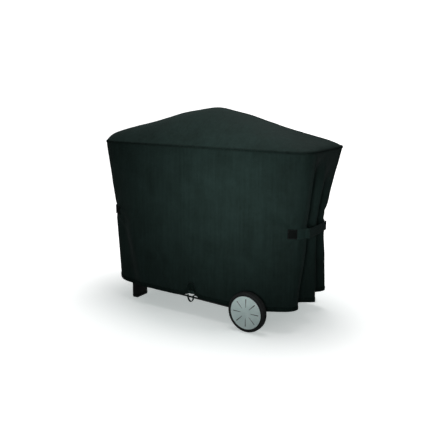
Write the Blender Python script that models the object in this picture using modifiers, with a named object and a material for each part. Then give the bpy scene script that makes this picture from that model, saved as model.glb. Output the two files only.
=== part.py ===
"""A fitted fabric cover on a small cart grill: pleated ends, hook-and-loop straps, wheels, feet and the grill.

Metres, +Z up. The origin is on the floor under the middle of the cart. +X runs towards the wheels, -Y is the front.
"""

import math

import bmesh
import bpy
from mathutils import Matrix, Quaternion, Vector

# Driving dimensions of the cover.
SHOULDER_HALF_WIDTH = 0.632
SEAM_Z = 0.887
PEAK_Z = 1.070
PEAK_X = 0.014
LEFT_ROUNDING = 0.236
RIGHT_ROUNDING = 0.083
LEFT_SLOPE = 0.322
RIGHT_SLOPE = 0.308
HEM_Z = 0.112
STRAP_Z = 0.500
STRAP_WIDTH = 0.050
STRAP_DROP = 0.026
CLOTH = 0.0014
HEM_HEIGHT = 0.024
HEM_THICKNESS = 0.0030
SEAM_CORD = 0.0024
PIPING = 0.0026
GAP = 0.0004

# Driving dimensions of the cart.
WHEEL_RADIUS = 0.1016
WHEEL_WIDTH = 0.038
WHEEL_Y = 0.290
AXLE_X = 0.352
AXLE_RADIUS = 0.006
BORE_RADIUS = 0.0066
BLOCK_HALF_WIDTH = 0.022
BLOCK_INNER_Y = 0.128
BLOCK_OUTER_Y = 0.200
BLOCK_LOW = 0.046
BLOCK_TOP = 0.135
SPACER_RADIUS = 0.0085
LEG_RADIUS = 0.013
LEG_Y = 0.150
FRAME_BEND = 0.045
FOOT_X = -0.448
FOOT_HALF_WIDTH = 0.024
FOOT_INNER_Y = 0.112
FOOT_OUTER_Y = 0.204
FOOT_TOP = 0.105
CROSSBAR_Z = 0.765
RAIL_RADIUS = 0.012
RAIL_END_X = 0.478
LOWER_RAIL_RADIUS = 0.005
LOWER_RAIL_Y = 0.185
LOWER_RAIL_FOOT_Z = 0.082
LOWER_RAIL_AXLE_Z = 0.057

# Driving dimensions of the grill.
GRILL_HALF_WIDTH = 0.262
GRILL_HALF_DEPTH = 0.168
FIREBOX_TOP = 0.896
TABLE_TOP = 0.914
TABLE_THICKNESS = 0.026
TABLE_INNER_X = 0.285
TABLE_OUTER_X = 0.485
TABLE_HALF_DEPTH = 0.145
TABLE_CORNER = 0.045
BEAM_INNER_X = 0.375
BEAM_OUTER_X = 0.399
BEAM_HALF_DEPTH = 0.138
SHELL_WALL = 0.004
GRATE_LOW = 0.868
GRATE_TOP = 0.876
GRATE_PITCH = 0.0235
GRATE_SLOTS = 19
BURNER_Z = 0.842

UPPER_RAIL_Z = CROSSBAR_Z + LEG_RADIUS + GAP + RAIL_RADIUS
RAIL_TOP = UPPER_RAIL_Z + RAIL_RADIUS


# ---------------------------------------------------------------- scene and materials

def clear_scene():
    for old in list(bpy.data.objects):
        bpy.data.objects.remove(old, do_unlink=True)


clear_scene()
PARTS = bpy.data.collections.new("grill_cover")
CUTTERS = bpy.data.collections.new("cutters")
bpy.context.scene.collection.children.link(PARTS)
bpy.context.scene.collection.children.link(CUTTERS)


def finish(name, colour, roughness, metallic=0.0):
    material = bpy.data.materials.new(name)
    material.use_nodes = True
    shader = material.node_tree.nodes["Principled BSDF"]
    shader.inputs["Base Color"].default_value = (*colour, 1.0)
    shader.inputs["Roughness"].default_value = roughness
    shader.inputs["Metallic"].default_value = metallic
    return material


CLOTH_BLACK = finish("cover_cloth", (0.012, 0.016, 0.015), 0.85)
WEBBING = finish("strap_webbing", (0.011, 0.014, 0.013), 0.75)
HOOK_LOOP = finish("hook_and_loop", (0.003, 0.004, 0.004), 0.95)
TYRE_BLACK = finish("tyre_rubber", (0.008, 0.008, 0.008), 0.70)
CAP_GREY = finish("hub_cap_grey", (0.30, 0.36, 0.35), 0.45)
PLASTIC = finish("black_plastic", (0.010, 0.010, 0.010), 0.50)
FRAME_PAINT = finish("frame_paint", (0.020, 0.020, 0.022), 0.40)
STEEL = finish("zinc_steel", (0.45, 0.46, 0.47), 0.35, 1.0)
CASTING = finish("grill_casting", (0.10, 0.11, 0.12), 0.50, 0.3)
TABLE_GREY = finish("table_plastic", (0.055, 0.058, 0.060), 0.60)
IRON = finish("cast_iron", (0.015, 0.015, 0.016), 0.65)


# ---------------------------------------------------------------- making solids

def add_object(name, data, material, collection=PARTS):
    made = bpy.data.objects.new(name, data)
    collection.objects.link(made)
    if material is not None:
        data.materials.append(material)
    return made


def from_bmesh(name, mesh_builder, material, collection=PARTS):
    data = bpy.data.meshes.new(name)
    mesh_builder.to_mesh(data)
    mesh_builder.free()
    return add_object(name, data, material, collection)


def round_shading(made, angle=35):
    made.data.shade_smooth()
    made.data.set_sharp_from_angle(angle=math.radians(angle))


def bevel(made, width, segments=2):
    rounding = made.modifiers.new("edges", "BEVEL")
    rounding.width = width
    rounding.segments = segments
    rounding.limit_method = "ANGLE"


def box(name, low, high, material, rounding=0.0, collection=PARTS):
    low, high = Vector(low), Vector(high)
    shape = bmesh.new()
    bmesh.ops.create_cube(shape, size=1.0)
    size = high - low
    bmesh.ops.scale(shape, vec=size, verts=shape.verts)
    made = from_bmesh(name, shape, material, collection)
    made.location = (low + high) / 2
    if rounding:
        bevel(made, rounding)
    return made


def cylinder(name, centre, radius, length, axis, material, sides=24, rounding=0.0, collection=PARTS):
    shape = bmesh.new()
    bmesh.ops.create_cone(
        shape, cap_ends=True, segments=sides, radius1=radius, radius2=radius, depth=length
    )
    turn = Vector((0, 0, 1)).rotation_difference(Vector(axis)).to_matrix().to_4x4()
    bmesh.ops.transform(shape, matrix=turn, verts=shape.verts)
    made = from_bmesh(name, shape, material, collection)
    made.location = centre
    if rounding:
        bevel(made, rounding)
    round_shading(made)
    return made


def cut(target, cutter):
    cutter.hide_render = True
    cutter.display_type = "WIRE"
    boolean = target.modifiers.new("cut", "BOOLEAN")
    boolean.operation = "DIFFERENCE"
    boolean.object = cutter


def tube(name, points, radius, material, resolution=2, closed=False, origin=(0, 0, 0)):
    """A round bar or cord along a list of points, with its origin where its joint is."""
    line = bpy.data.curves.new(name, "CURVE")
    line.dimensions = "3D"
    line.bevel_depth = radius
    line.bevel_resolution = resolution
    line.use_fill_caps = not closed
    spline = line.splines.new("POLY")
    spline.points.add(len(points) - 1)
    for spot, point in zip(spline.points, points):
        spot.co = (*(Vector(point) - Vector(origin)), 1.0)
    spline.use_cyclic_u = closed
    spline.use_smooth = True
    made = add_object(name, line, material)
    made.location = origin
    return made


def rounded_path(corners, radius, steps=5):
    """The corners joined by straight runs, each inner corner turned into an arc."""
    corners = [Vector(c) for c in corners]
    path = [corners[0]]
    for before, corner, after in zip(corners, corners[1:], corners[2:]):
        inward, outward = (before - corner).normalized(), (after - corner).normalized()
        half_angle = inward.angle(outward) / 2
        reach = radius / math.tan(half_angle)
        centre = corner + (inward + outward).normalized() * radius / math.sin(half_angle)
        start = (corner + inward * reach - centre).normalized()
        end = (corner + outward * reach - centre).normalized()
        for step in range(steps + 1):
            path.append(centre + start.slerp(end, step / steps) * radius)
    path.append(corners[-1])
    return path


def plate(name, outline, low_z, high_z, material, rounding=0.0, origin=(0, 0)):
    """A flat outline in plan, extruded between two heights, with its origin at a point of the plan."""
    shape = bpy.data.curves.new(name, "CURVE")
    shape.dimensions = "2D"
    shape.fill_mode = "BOTH"
    shape.extrude = (high_z - low_z) / 2
    spline = shape.splines.new("POLY")
    spline.points.add(len(outline) - 1)
    for spot, point in zip(spline.points, outline):
        spot.co = (point[0] - origin[0], point[1] - origin[1], 0.0, 1.0)
    spline.use_cyclic_u = True
    made = add_object(name, shape, material)
    made.location = (origin[0], origin[1], (low_z + high_z) / 2)
    if rounding:
        weld = made.modifiers.new("weld", "WELD")
        weld.merge_threshold = 0.0001
        bevel(made, rounding)
    return made


def slab(name, outline, low_z, high_z, material):
    """A plate made as a mesh, so that it can be cut."""
    shape = bmesh.new()
    base = [shape.verts.new((x, y, low_z)) for x, y in outline]
    top = [shape.verts.new((x, y, high_z)) for x, y in outline]
    for i in range(len(base)):
        j = (i + 1) % len(base)
        shape.faces.new((base[i], base[j], top[j], top[i]))
    shape.faces.new(list(reversed(base)))
    shape.faces.new(top)
    return from_bmesh(name, shape, material)


def rounded_rectangle(low, high, radius, steps=5):
    outline = []
    corners = (
        (high[0] - radius, high[1] - radius, 0),
        (low[0] + radius, high[1] - radius, 90),
        (low[0] + radius, low[1] + radius, 180),
        (high[0] - radius, low[1] + radius, 270),
    )
    for x, y, start in corners:
        for step in range(steps + 1):
            angle = math.radians(start + 90 * step / steps)
            outline.append((x + radius * math.cos(angle), y + radius * math.sin(angle)))
    return outline


def ribbon(name, path, thickness, material, width=STRAP_WIDTH, origin=(0, 0)):
    """A flat band standing on edge: a path in plan, thickened, extruded to the band's width."""
    sides = []
    for index, point in enumerate(path):
        ahead = path[min(index + 1, len(path) - 1)] - path[max(index - 1, 0)]
        across = Vector((-ahead.y, ahead.x)).normalized() * thickness / 2
        sides.append((point + across, point - across))
    outline = [left for left, _ in sides] + [right for _, right in reversed(sides)]
    return plate(name, outline, STRAP_Z - width / 2, STRAP_Z + width / 2, material, origin=origin)


def turned(name, profile, centre, material, steps=28):
    """A profile of (radius, along) points turned about the Y axis, closed on itself."""
    data = bpy.data.meshes.new(name)
    pairs = zip(profile, profile[1:] + profile[:1])
    if sum(r0 * y1 - r1 * y0 for (r0, y0), (r1, y1) in pairs) > 0:
        profile = profile[::-1]
    points = [(radius, along, 0.0) for radius, along in profile]
    count = len(points)
    data.from_pydata(points, [(i, (i + 1) % count) for i in range(count)], [])
    made = add_object(name, data, material)
    screw = made.modifiers.new("turn", "SCREW")
    screw.axis = "Y"
    screw.steps = steps
    screw.render_steps = steps
    screw.use_merge_vertices = True
    screw.merge_threshold = 0.0001
    made.location = centre
    return made


def loft(name, rows, thickness, material):
    """A cloth panel: rows of points joined into an open sheet, given its thickness on the inner side."""
    shape = bmesh.new()
    grid = [[shape.verts.new(point) for point in row] for row in rows]
    for lower, upper in zip(grid, grid[1:]):
        for i in range(len(lower) - 1):
            shape.faces.new((lower[i], lower[i + 1], upper[i + 1], upper[i]))
    made = from_bmesh(name, shape, material)
    wall = made.modifiers.new("thickness", "SOLIDIFY")
    wall.thickness = thickness
    wall.offset = -1
    wall.use_even_offset = True
    round_shading(made, 60)
    return made


# ---------------------------------------------------------------- the cover's shape

def smooth(value):
    value = min(max(value, 0.0), 1.0)
    return value * value * (3 - 2 * value)


def mix(a, b, share):
    return a + (b - a) * share


WAIST_HALF = 0.036


def by_height(z, hem, waist, seam):
    """A dimension that changes between the hem, the band under the straps and the shoulder seam."""
    if z >= STRAP_Z:
        share = (z - STRAP_Z - WAIST_HALF) / (SEAM_Z - STRAP_Z - WAIST_HALF)
        return mix(waist, seam, min(max(share, 0.0), 1.0))
    share = (STRAP_Z - WAIST_HALF - z) / (STRAP_Z - WAIST_HALF - HEM_Z)
    return mix(waist, hem, smooth(share))


# Corner ridges (x, y) where the front and back panels meet the pleated ends.
def front_corner(z):
    return Vector((by_height(z, 0.564, 0.593, SHOULDER_HALF_WIDTH), -by_height(z, 0.160, 0.140, 0.150)))


def back_corner(z):
    return Vector((by_height(z, 0.557, 0.543, SHOULDER_HALF_WIDTH), by_height(z, 0.178, 0.180, 0.150)))


def panel_bulge(z):
    return by_height(z, 0.252, 0.240, 0.236)


def corner_power(z):
    return by_height(z, 6.0, 6.5, 14.0)


def panel_point(across, z, corner, side):
    """A point of the front (side -1) or back (side +1) panel; across runs -1 to 1 between its corner ridges."""
    ridge = corner(z)
    rounding = max(0.0, 1 - abs(across) ** corner_power(z)) ** 0.5
    depth = mix(abs(ridge.y), panel_bulge(z), rounding)
    return Vector((across * ridge.x, side * depth, z))


def pleat_depth(z):
    """How far the pleats are folded in, from none at the shoulder to full depth at the strap."""
    return smooth((SEAM_Z - 0.012 - z) / (SEAM_Z - STRAP_Z - 0.06))


def pleat_corners(z):
    """The zigzag of the right-hand end in plan: corner ridge, valley, middle ridge, valley, corner ridge."""
    front, back = front_corner(z), back_corner(z)
    fold = pleat_depth(z)
    valley_front = Vector((0.502, by_height(z, -0.086, -0.072, -0.075)))
    middle = Vector((by_height(z, 0.586, 0.574, SHOULDER_HALF_WIDTH), by_height(z, -0.010, 0.008, 0.0)))
    valley_back = Vector((0.492, by_height(z, 0.086, 0.092, 0.075)))
    flat = [front.lerp(back, share) for share in (0.0, 0.25, 0.5, 0.75, 1.0)]
    folded = [front, valley_front, middle, valley_back, back]
    return [a.lerp(b, fold) for a, b in zip(flat, folded)]


def pleat_point(along, z):
    """A point of the right-hand end; along runs 0 at the front corner ridge to 1 at the back one."""
    corners = pleat_corners(z)
    place = along * (len(corners) - 1)
    first = min(int(place), len(corners) - 2)
    share = place - first
    eased = mix(share, smooth(share), 0.55)
    a, b = corners[first], corners[first + 1]
    return Vector((mix(a.x, b.x, eased), mix(a.y, b.y, share), z))


def ridge_height(x):
    """The line of the tent along the top: a rounded peak over the lid, fuller on its left."""
    rounding, slope = (LEFT_ROUNDING, LEFT_SLOPE) if x < PEAK_X else (RIGHT_ROUNDING, RIGHT_SLOPE)
    return PEAK_Z - slope * (math.hypot(x - PEAK_X, rounding) - rounding)


END_POWER = 40
MIDDLE_FLATNESS = 1.75
END_FLATNESS = 2.6


def top_point(across, v):
    """A point of the top panel; across runs -1 to 1 along X, v runs -1 at the front seam to 1 at the back seam."""
    x = across * SHOULDER_HALF_WIDTH
    half_depth = abs(panel_point(across, SEAM_Z, front_corner, -1).y)
    end_roll = max(0.0, 1 - abs(across) ** END_POWER) ** 0.5
    flatness = MIDDLE_FLATNESS + END_FLATNESS * across ** 2
    rise = (ridge_height(x) - SEAM_Z) * end_roll * (1 - abs(v) ** flatness)
    return Vector((x, v * half_depth, SEAM_Z + rise))


def across_at(turn, z):
    """Where a share of the way round a corner lies: turn runs -1 to 1, evenly spread round the panel's curve."""
    return math.copysign(math.sin(abs(turn) * math.pi / 2) ** (2 / corner_power(z)), turn)


def spaced(low, high, count):
    return [mix(low, high, i / (count - 1)) for i in range(count)]


PANEL_LOW = HEM_Z + HEM_HEIGHT + GAP
PANEL_HIGH = SEAM_Z - PIPING - GAP
WAIST_ROWS = [STRAP_Z - WAIST_HALF, STRAP_Z + WAIST_HALF]
PANEL_ROWS = spaced(PANEL_LOW, 0.36, 3) + WAIST_ROWS + spaced(0.65, PANEL_HIGH, 3)
HEM_ROWS = [HEM_Z, HEM_Z + HEM_HEIGHT]
EDGE_GAP = SEAM_CORD + 0.0007
ALONG_GAP = 0.0115


def panel_rows(heights, corner, side):
    rows = []
    for z in heights:
        limit = math.acos(EDGE_GAP / (panel_bulge(z) - abs(corner(z).y))) / (math.pi / 2)
        row = [panel_point(across_at(t, z), z, corner, side) for t in spaced(-limit, limit, 20)]
        rows.append(row[::-1] if side > 0 else row)
    return rows


def pleat_rows(heights, hand):
    along = spaced(ALONG_GAP, 1 - ALONG_GAP, 17)
    rows = [[pleat_point(a, z) for a in along] for z in heights]
    if hand < 0:
        rows = [[Vector((-p.x, p.y, p.z)) for p in reversed(row)] for row in rows]
    return rows


def top_rows():
    """Columns spread evenly over the middle and round the corners, rows closer together at the seams."""
    flat_part, crowding, reach = 0.62, 1.3, 0.985
    ends = [across_at(t, SEAM_Z) for t in spaced(-1, 1, 12)]
    middle = spaced(-flat_part, flat_part, 11)
    columns = sorted([a for a in ends if abs(a) > flat_part] + middle)
    rows = [math.copysign(1 - (1 - abs(v)) ** crowding, v) * reach for v in spaced(-1, 1, 11)]
    lift = Vector((0, 0, PIPING + CLOTH + GAP))
    return [[top_point(a, v) + lift for a in columns] for v in rows]


def shoulder_line():
    """The closed line of the shoulder seam in plan."""
    reach = 0.99
    turns = spaced(-reach, reach, 20)
    front = [panel_point(across_at(t, SEAM_Z), SEAM_Z, front_corner, -1) for t in turns]
    back = [panel_point(across_at(t, SEAM_Z), SEAM_Z, back_corner, 1) for t in reversed(turns)]
    return front + back


# ---------------------------------------------------------------- the cover's pieces

def cover_panels():
    loft("front_panel", panel_rows(PANEL_ROWS, front_corner, -1), CLOTH, CLOTH_BLACK)
    loft("back_panel", panel_rows(PANEL_ROWS, back_corner, 1), CLOTH, CLOTH_BLACK)
    loft("front_hem", panel_rows(HEM_ROWS, front_corner, -1), HEM_THICKNESS, CLOTH_BLACK)
    loft("back_hem", panel_rows(HEM_ROWS, back_corner, 1), HEM_THICKNESS, CLOTH_BLACK)
    for hand, word in ((1, "right"), (-1, "left")):
        loft(f"{word}_gusset", pleat_rows(PANEL_ROWS, hand), CLOTH, CLOTH_BLACK)
        loft(f"{word}_gusset_hem", pleat_rows(HEM_ROWS, hand), HEM_THICKNESS, CLOTH_BLACK)
    loft("top_panel", top_rows(), CLOTH, CLOTH_BLACK)
    tube("shoulder_piping", shoulder_line(), PIPING, CLOTH_BLACK, resolution=1, closed=True)


def corner_seams():
    """A corded seam up each corner ridge, between a panel and a pleated end."""
    heights = [HEM_Z] + PANEL_ROWS
    for corner, word in ((front_corner, "front"), (back_corner, "back")):
        for hand, end in ((1, "right"), (-1, "left")):
            line = [(hand * corner(z).x, corner(z).y, z) for z in heights]
            tube(f"{word}_{end}_seam", line, SEAM_CORD, CLOTH_BLACK, resolution=1)


def panel_path(start, end, offset, corner, side, count=7):
    """A plan path along a panel at strap height, standing off its outer face."""
    step = 0.004
    path = []
    for across in spaced(start, end, count):
        here = panel_point(across, STRAP_Z, corner, side).to_2d()
        ahead = panel_point(across - step, STRAP_Z, corner, side).to_2d()
        along = (here - ahead).normalized()
        outward = Vector((along.y, -along.x)) * -side
        path.append(here + outward * offset)
    return path


def mirrored(path, hand):
    return [Vector((hand * point.x, point.y)) for point in path]


WEB = 0.0018
PATCH = 0.0012
PATCH_WIDTH = 0.046
WAIST_STAND_OFF = 0.0022
# Where the pieces of a strap start and end, as shares of the way across a panel.
PATCH_START = 0.877
TAIL_START = 0.966
HOOK_START = 0.969
STRAP_TURN = 0.992
ANCHOR_SPAN = (0.955, 0.860)
STRAP_AXIS_FRONT = Vector((0.6025, -0.1400))
STRAP_AXIS_BACK = Vector((0.5520, 0.1850))
TAIL_LAYERS = WAIST_STAND_OFF + PATCH + GAP


def sloping_strap(word, front, back):
    """The strap over the pleats, in an upright plane, sloping down from its front end to the anchor behind."""
    run = (front - back).normalized()
    tilt = math.asin(STRAP_DROP / (front - back).length)
    corner_shift = STRAP_WIDTH / 2 * math.sin(tilt) + GAP
    path = [front - run * corner_shift, front.lerp(back, 0.5), back + run * corner_shift]
    strap = ribbon(f"{word}_strap", path, WEB, WEBBING, origin=back)
    strap.location.z -= STRAP_DROP
    strap.rotation_mode = "QUATERNION"
    strap.rotation_quaternion = Quaternion(Vector((run.y, -run.x, 0)), tilt)


def straps():
    """A hook-and-loop strap at each end: a patch on the front panel, a strap over the pleats, an anchor behind."""
    for hand, word in ((1, "right"), (-1, "left")):
        patch = panel_path(PATCH_START, STRAP_TURN, WAIST_STAND_OFF, front_corner, -1)
        hook = panel_path(HOOK_START, STRAP_TURN, TAIL_LAYERS, front_corner, -1)
        tail = panel_path(TAIL_START, STRAP_TURN, TAIL_LAYERS + PATCH + GAP, front_corner, -1)
        anchor = panel_path(*ANCHOR_SPAN, WAIST_STAND_OFF, back_corner, 1)
        front_axis, back_axis = mirrored([STRAP_AXIS_FRONT, STRAP_AXIS_BACK], hand)
        ribbon(f"{word}_loop_patch", mirrored(patch, hand), PATCH, HOOK_LOOP, PATCH_WIDTH)
        ribbon(f"{word}_strap_hook", mirrored(hook, hand), PATCH, HOOK_LOOP, PATCH_WIDTH, front_axis)
        ribbon(f"{word}_strap_tail", mirrored(tail, hand), WEB, WEBBING, origin=front_axis)
        sewn = ribbon(f"{word}_strap_anchor", mirrored(anchor, hand), WEB, WEBBING)
        sewn.location.z -= STRAP_DROP
        sloping_strap(word, front_axis, back_axis)


LOOP_X = -0.016
LOOP_HALF_WIDTH = 0.020
LOOP_DROP = 0.0361
LOOP_RADIUS = 0.0034


def hem_loop():
    """A short webbing loop hanging from the middle of the front hem, for tying the cover down."""
    front_y = panel_point(LOOP_X / front_corner(HEM_Z).x, HEM_Z, front_corner, -1).y + HEM_THICKNESS / 2
    top = HEM_Z - LOOP_RADIUS - 0.0005
    arc = []
    for step in range(11):
        angle = math.pi * (1 + step / 10)
        arc.append((LOOP_X + LOOP_HALF_WIDTH * math.cos(angle), front_y, top + LOOP_DROP * math.sin(angle)))
    tube("hem_loop", arc, LOOP_RADIUS, WEBBING, resolution=1, origin=(LOOP_X, front_y, top))
    tab_front, tab_thickness = front_y + HEM_THICKNESS, 0.0022
    box(
        "hem_loop_tab",
        (LOOP_X - 0.026, tab_front, HEM_Z + 0.002),
        (LOOP_X + 0.026, tab_front + tab_thickness, HEM_Z + 0.020),
        WEBBING,
    )


# ---------------------------------------------------------------- the cart

def leg_frames():
    """Two upside-down U frames of tube: the left one stands on feet, the right one on the axle blocks."""
    for x, foot_top, word in ((FOOT_X, FOOT_TOP, "left"), (AXLE_X, BLOCK_TOP, "right")):
        corners = [
            (x, -LEG_Y, foot_top + GAP),
            (x, -LEG_Y, CROSSBAR_Z),
            (x, LEG_Y, CROSSBAR_Z),
            (x, LEG_Y, foot_top + GAP),
        ]
        tube(f"{word}_leg_frame", rounded_path(corners, FRAME_BEND), LEG_RADIUS, FRAME_PAINT)


def rails():
    for side, word in ((-1, "front"), (1, "back")):
        ends = [(-RAIL_END_X, side * LEG_Y, UPPER_RAIL_Z), (RAIL_END_X, side * LEG_Y, UPPER_RAIL_Z)]
        tube(f"{word}_upper_rail", ends, RAIL_RADIUS, FRAME_PAINT)
        low_ends = [
            (FOOT_X + FOOT_HALF_WIDTH + GAP, side * LOWER_RAIL_Y, LOWER_RAIL_FOOT_Z),
            (AXLE_X - BLOCK_HALF_WIDTH - GAP, side * LOWER_RAIL_Y, LOWER_RAIL_AXLE_Z),
        ]
        tube(f"{word}_lower_rail", low_ends, LOWER_RAIL_RADIUS, FRAME_PAINT)


def foot(side, word):
    """A moulded foot: a block with its outer front edge cut off at a slant."""
    inner, outer = FOOT_X + FOOT_HALF_WIDTH, FOOT_X - FOOT_HALF_WIDTH
    slant_x, slant_y = 0.010, 0.030
    outline = [
        (inner, side * FOOT_OUTER_Y),
        (inner - slant_x, side * FOOT_OUTER_Y),
        (outer, side * (FOOT_OUTER_Y - slant_y)),
        (outer, side * FOOT_INNER_Y),
        (inner, side * FOOT_INNER_Y),
    ]
    if side > 0:
        outline.reverse()
    plate(f"{word}_foot", outline, 0.0, FOOT_TOP, PLASTIC, rounding=0.004)


def axle_block(side, word):
    low_y, high_y = sorted((side * BLOCK_INNER_Y, side * BLOCK_OUTER_Y))
    low = (AXLE_X - BLOCK_HALF_WIDTH, low_y, BLOCK_LOW)
    high = (AXLE_X + BLOCK_HALF_WIDTH, high_y, BLOCK_TOP)
    block = box(f"{word}_axle_block", low, high, PLASTIC, 0.003)
    centre = (AXLE_X, (low_y + high_y) / 2, WHEEL_RADIUS)
    bore_length = 0.12
    bore = cylinder(f"{word}_block_bore", centre, BORE_RADIUS, bore_length, (0, 1, 0), None, 16, collection=CUTTERS)
    cut(block, bore)


def axle():
    length = 2 * (WHEEL_Y + 0.006)
    cylinder("axle", (AXLE_X, 0, WHEEL_RADIUS), AXLE_RADIUS, length, (0, 1, 0), STEEL, 16, 0.001)
    inner = BLOCK_OUTER_Y + 2 * GAP
    outer = WHEEL_Y - WHEEL_WIDTH / 2 - GAP
    for side, word in ((-1, "front"), (1, "back")):
        profile = [
            (BORE_RADIUS, side * inner),
            (BORE_RADIUS, side * outer),
            (SPACER_RADIUS, side * outer),
            (SPACER_RADIUS, side * inner),
        ]
        turned(f"{word}_axle_spacer", profile, (AXLE_X, 0, WHEEL_RADIUS), PLASTIC, 16)


TYRE_INNER = 0.0855
TYRE_SHOULDER = 0.0960
GROOVE_DEPTH = 0.0022
RIM_OUTER = TYRE_INNER - GAP
RIM_WALL = 0.0040
HUB_RADIUS = 0.0150
HUB_RECESS = 0.0090
CAP_RADIUS = 0.0842
CAP_THICKNESS = 0.0036


def tyre_profile():
    """Radius and distance from the wheel's middle plane, with two grooves round the tread."""
    half = WHEEL_WIDTH / 2
    tread, groove = WHEEL_RADIUS, WHEEL_RADIUS - GROOVE_DEPTH
    return [
        (TYRE_INNER, -half + 0.002),
        (TYRE_SHOULDER, -half),
        (tread - 0.0012, -half + 0.005),
        (tread, -0.0085),
        (groove, -0.0070),
        (groove, -0.0050),
        (tread, -0.0035),
        (tread, 0.0035),
        (groove, 0.0050),
        (groove, 0.0070),
        (tread, 0.0085),
        (tread - 0.0012, half - 0.005),
        (TYRE_SHOULDER, half),
        (TYRE_INNER, half - 0.002),
    ]


def rim_profile(side):
    """The barrel, web and hub of a wheel; the cap's recess is on the outer side."""
    half = WHEEL_WIDTH / 2 - CAP_THICKNESS - GAP
    points = [
        (RIM_OUTER, -half),
        (RIM_OUTER, half),
        (RIM_OUTER - RIM_WALL, half),
        (RIM_OUTER - RIM_WALL, RIM_WALL),
        (HUB_RADIUS, RIM_WALL),
        (HUB_RADIUS, half),
        (BORE_RADIUS, half),
        (BORE_RADIUS, -half + HUB_RECESS),
        (HUB_RADIUS, -half + HUB_RECESS),
        (HUB_RADIUS, 0.0),
        (RIM_OUTER - RIM_WALL, 0.0),
        (RIM_OUTER - RIM_WALL, -half),
    ]
    return [(radius, -side * along) for radius, along in points]


SLOTS = 8
SLOT_INNER = 0.026
SLOT_OUTER = 0.071
SLOT_WIDTH = 0.0042


def hub_cap(side, word):
    """The grey disc over a wheel, with eight long radial slots."""
    outer_face = side * (WHEEL_Y + WHEEL_WIDTH / 2)
    centre = (AXLE_X, outer_face - side * CAP_THICKNESS / 2, WHEEL_RADIUS)
    cap = cylinder(f"{word}_hub_cap", centre, CAP_RADIUS, CAP_THICKNESS, (0, 1, 0), CAP_GREY, 48)
    shape = bmesh.new()
    for index in range(SLOTS):
        turn = Matrix.Rotation(2 * math.pi * index / SLOTS, 4, "Y")
        size = Matrix.Diagonal((SLOT_OUTER - SLOT_INNER, CAP_THICKNESS * 3, SLOT_WIDTH, 1.0))
        place = turn @ Matrix.Translation(((SLOT_INNER + SLOT_OUTER) / 2, 0, 0)) @ size
        bmesh.ops.create_cube(shape, size=1.0, matrix=place)
    cutter = from_bmesh(f"{word}_cap_slots", shape, None, CUTTERS)
    cutter.location = centre
    cut(cap, cutter)


def wheels():
    for side, word in ((-1, "front"), (1, "back")):
        centre = (AXLE_X, side * WHEEL_Y, WHEEL_RADIUS)
        turned(f"{word}_tyre", tyre_profile(), centre, TYRE_BLACK)
        turned(f"{word}_rim", rim_profile(side), centre, PLASTIC)
        hub_cap(side, word)


# ---------------------------------------------------------------- the grill

def tub(name, levels, thickness, material):
    """A rounded open tub or lid: rounded rectangles at several heights, joined, closed at the last, given a wall."""
    corner_share = 0.55
    shape = bmesh.new()
    rings = []
    for z, half_width, half_depth in levels:
        corner = corner_share * half_depth
        plan = rounded_rectangle((-half_width, -half_depth), (half_width, half_depth), corner, 4)
        rings.append([shape.verts.new((x, y, z)) for x, y in plan])
    count = len(rings[0])
    for lower, upper in zip(rings, rings[1:]):
        for i in range(count):
            j = (i + 1) % count
            shape.faces.new((lower[i], lower[j], upper[j], upper[i]))
    shape.faces.new(rings[-1])
    bmesh.ops.recalc_face_normals(shape, faces=shape.faces)
    made = from_bmesh(name, shape, material)
    wall = made.modifiers.new("thickness", "SOLIDIFY")
    wall.thickness = thickness
    wall.offset = -1
    round_shading(made, 60)
    return made


def grill_body():
    width, depth = GRILL_HALF_WIDTH, GRILL_HALF_DEPTH
    low = RAIL_TOP + 0.004
    firebox = [
        (FIREBOX_TOP - 0.001, width, depth),
        (0.872, width * 0.99, depth * 0.99),
        (0.845, width * 0.95, depth * 0.94),
        (low + 0.014, width * 0.84, depth * 0.80),
        (low, width * 0.68, depth * 0.62),
    ]
    lid = [
        (FIREBOX_TOP + 0.001, width, depth),
        (0.915, width * 0.99, depth * 0.98),
        (0.945, width * 0.94, depth * 0.90),
        (0.985, width * 0.78, depth * 0.72),
        (1.018, width * 0.56, depth * 0.48),
        (1.034, width * 0.32, depth * 0.26),
    ]
    tub("firebox", firebox, SHELL_WALL, CASTING)
    tub("lid", lid, SHELL_WALL, CASTING)


def grill_fittings():
    handle = rounded_path(
        [(-0.13, -0.1725, 0.912), (-0.13, -0.204, 0.904), (0.13, -0.204, 0.904), (0.13, -0.1725, 0.912)], 0.012, 3
    )
    tube("lid_handle", handle, 0.0070, PLASTIC)
    box("control_panel", (-0.11, -0.186, 0.822), (0.11, -0.1725, 0.872), PLASTIC, 0.002)
    cylinder("burner_knob", (-0.045, -0.1965, 0.847), 0.019, 0.0200, (0, 1, 0), PLASTIC, 24, 0.002)


def cooking_grate():
    outline = rounded_rectangle((-0.246, -0.155), (0.246, 0.155), 0.085, 4)
    grate = slab("cooking_grate", outline, GRATE_LOW, GRATE_TOP, IRON)
    slot_width, slot_length = 0.62 * GRATE_PITCH, 0.250
    shape = bmesh.new()
    for index in range(GRATE_SLOTS):
        x = (index - (GRATE_SLOTS - 1) / 2) * GRATE_PITCH
        size = Matrix.Diagonal((slot_width, slot_length, 0.05, 1.0))
        bmesh.ops.create_cube(shape, size=1.0, matrix=Matrix.Translation((x, 0, 0)) @ size)
    cutter = from_bmesh("grate_slots", shape, None, CUTTERS)
    cutter.location = (0, 0, (GRATE_LOW + GRATE_TOP) / 2)
    cut(grate, cutter)


def burner():
    """A loop of tube under the grate, open at the front."""
    half_width, front, back, opening = 0.17, -0.115, 0.09, 0.05
    plan = [
        (-opening, front), (-half_width, front), (-half_width, back),
        (half_width, back), (half_width, front), (opening, front),
    ]
    loop = rounded_path([(x, y, BURNER_Z) for x, y in plan], 0.04, 4)
    tube("burner_tube", loop, 0.008, STEEL)


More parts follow.
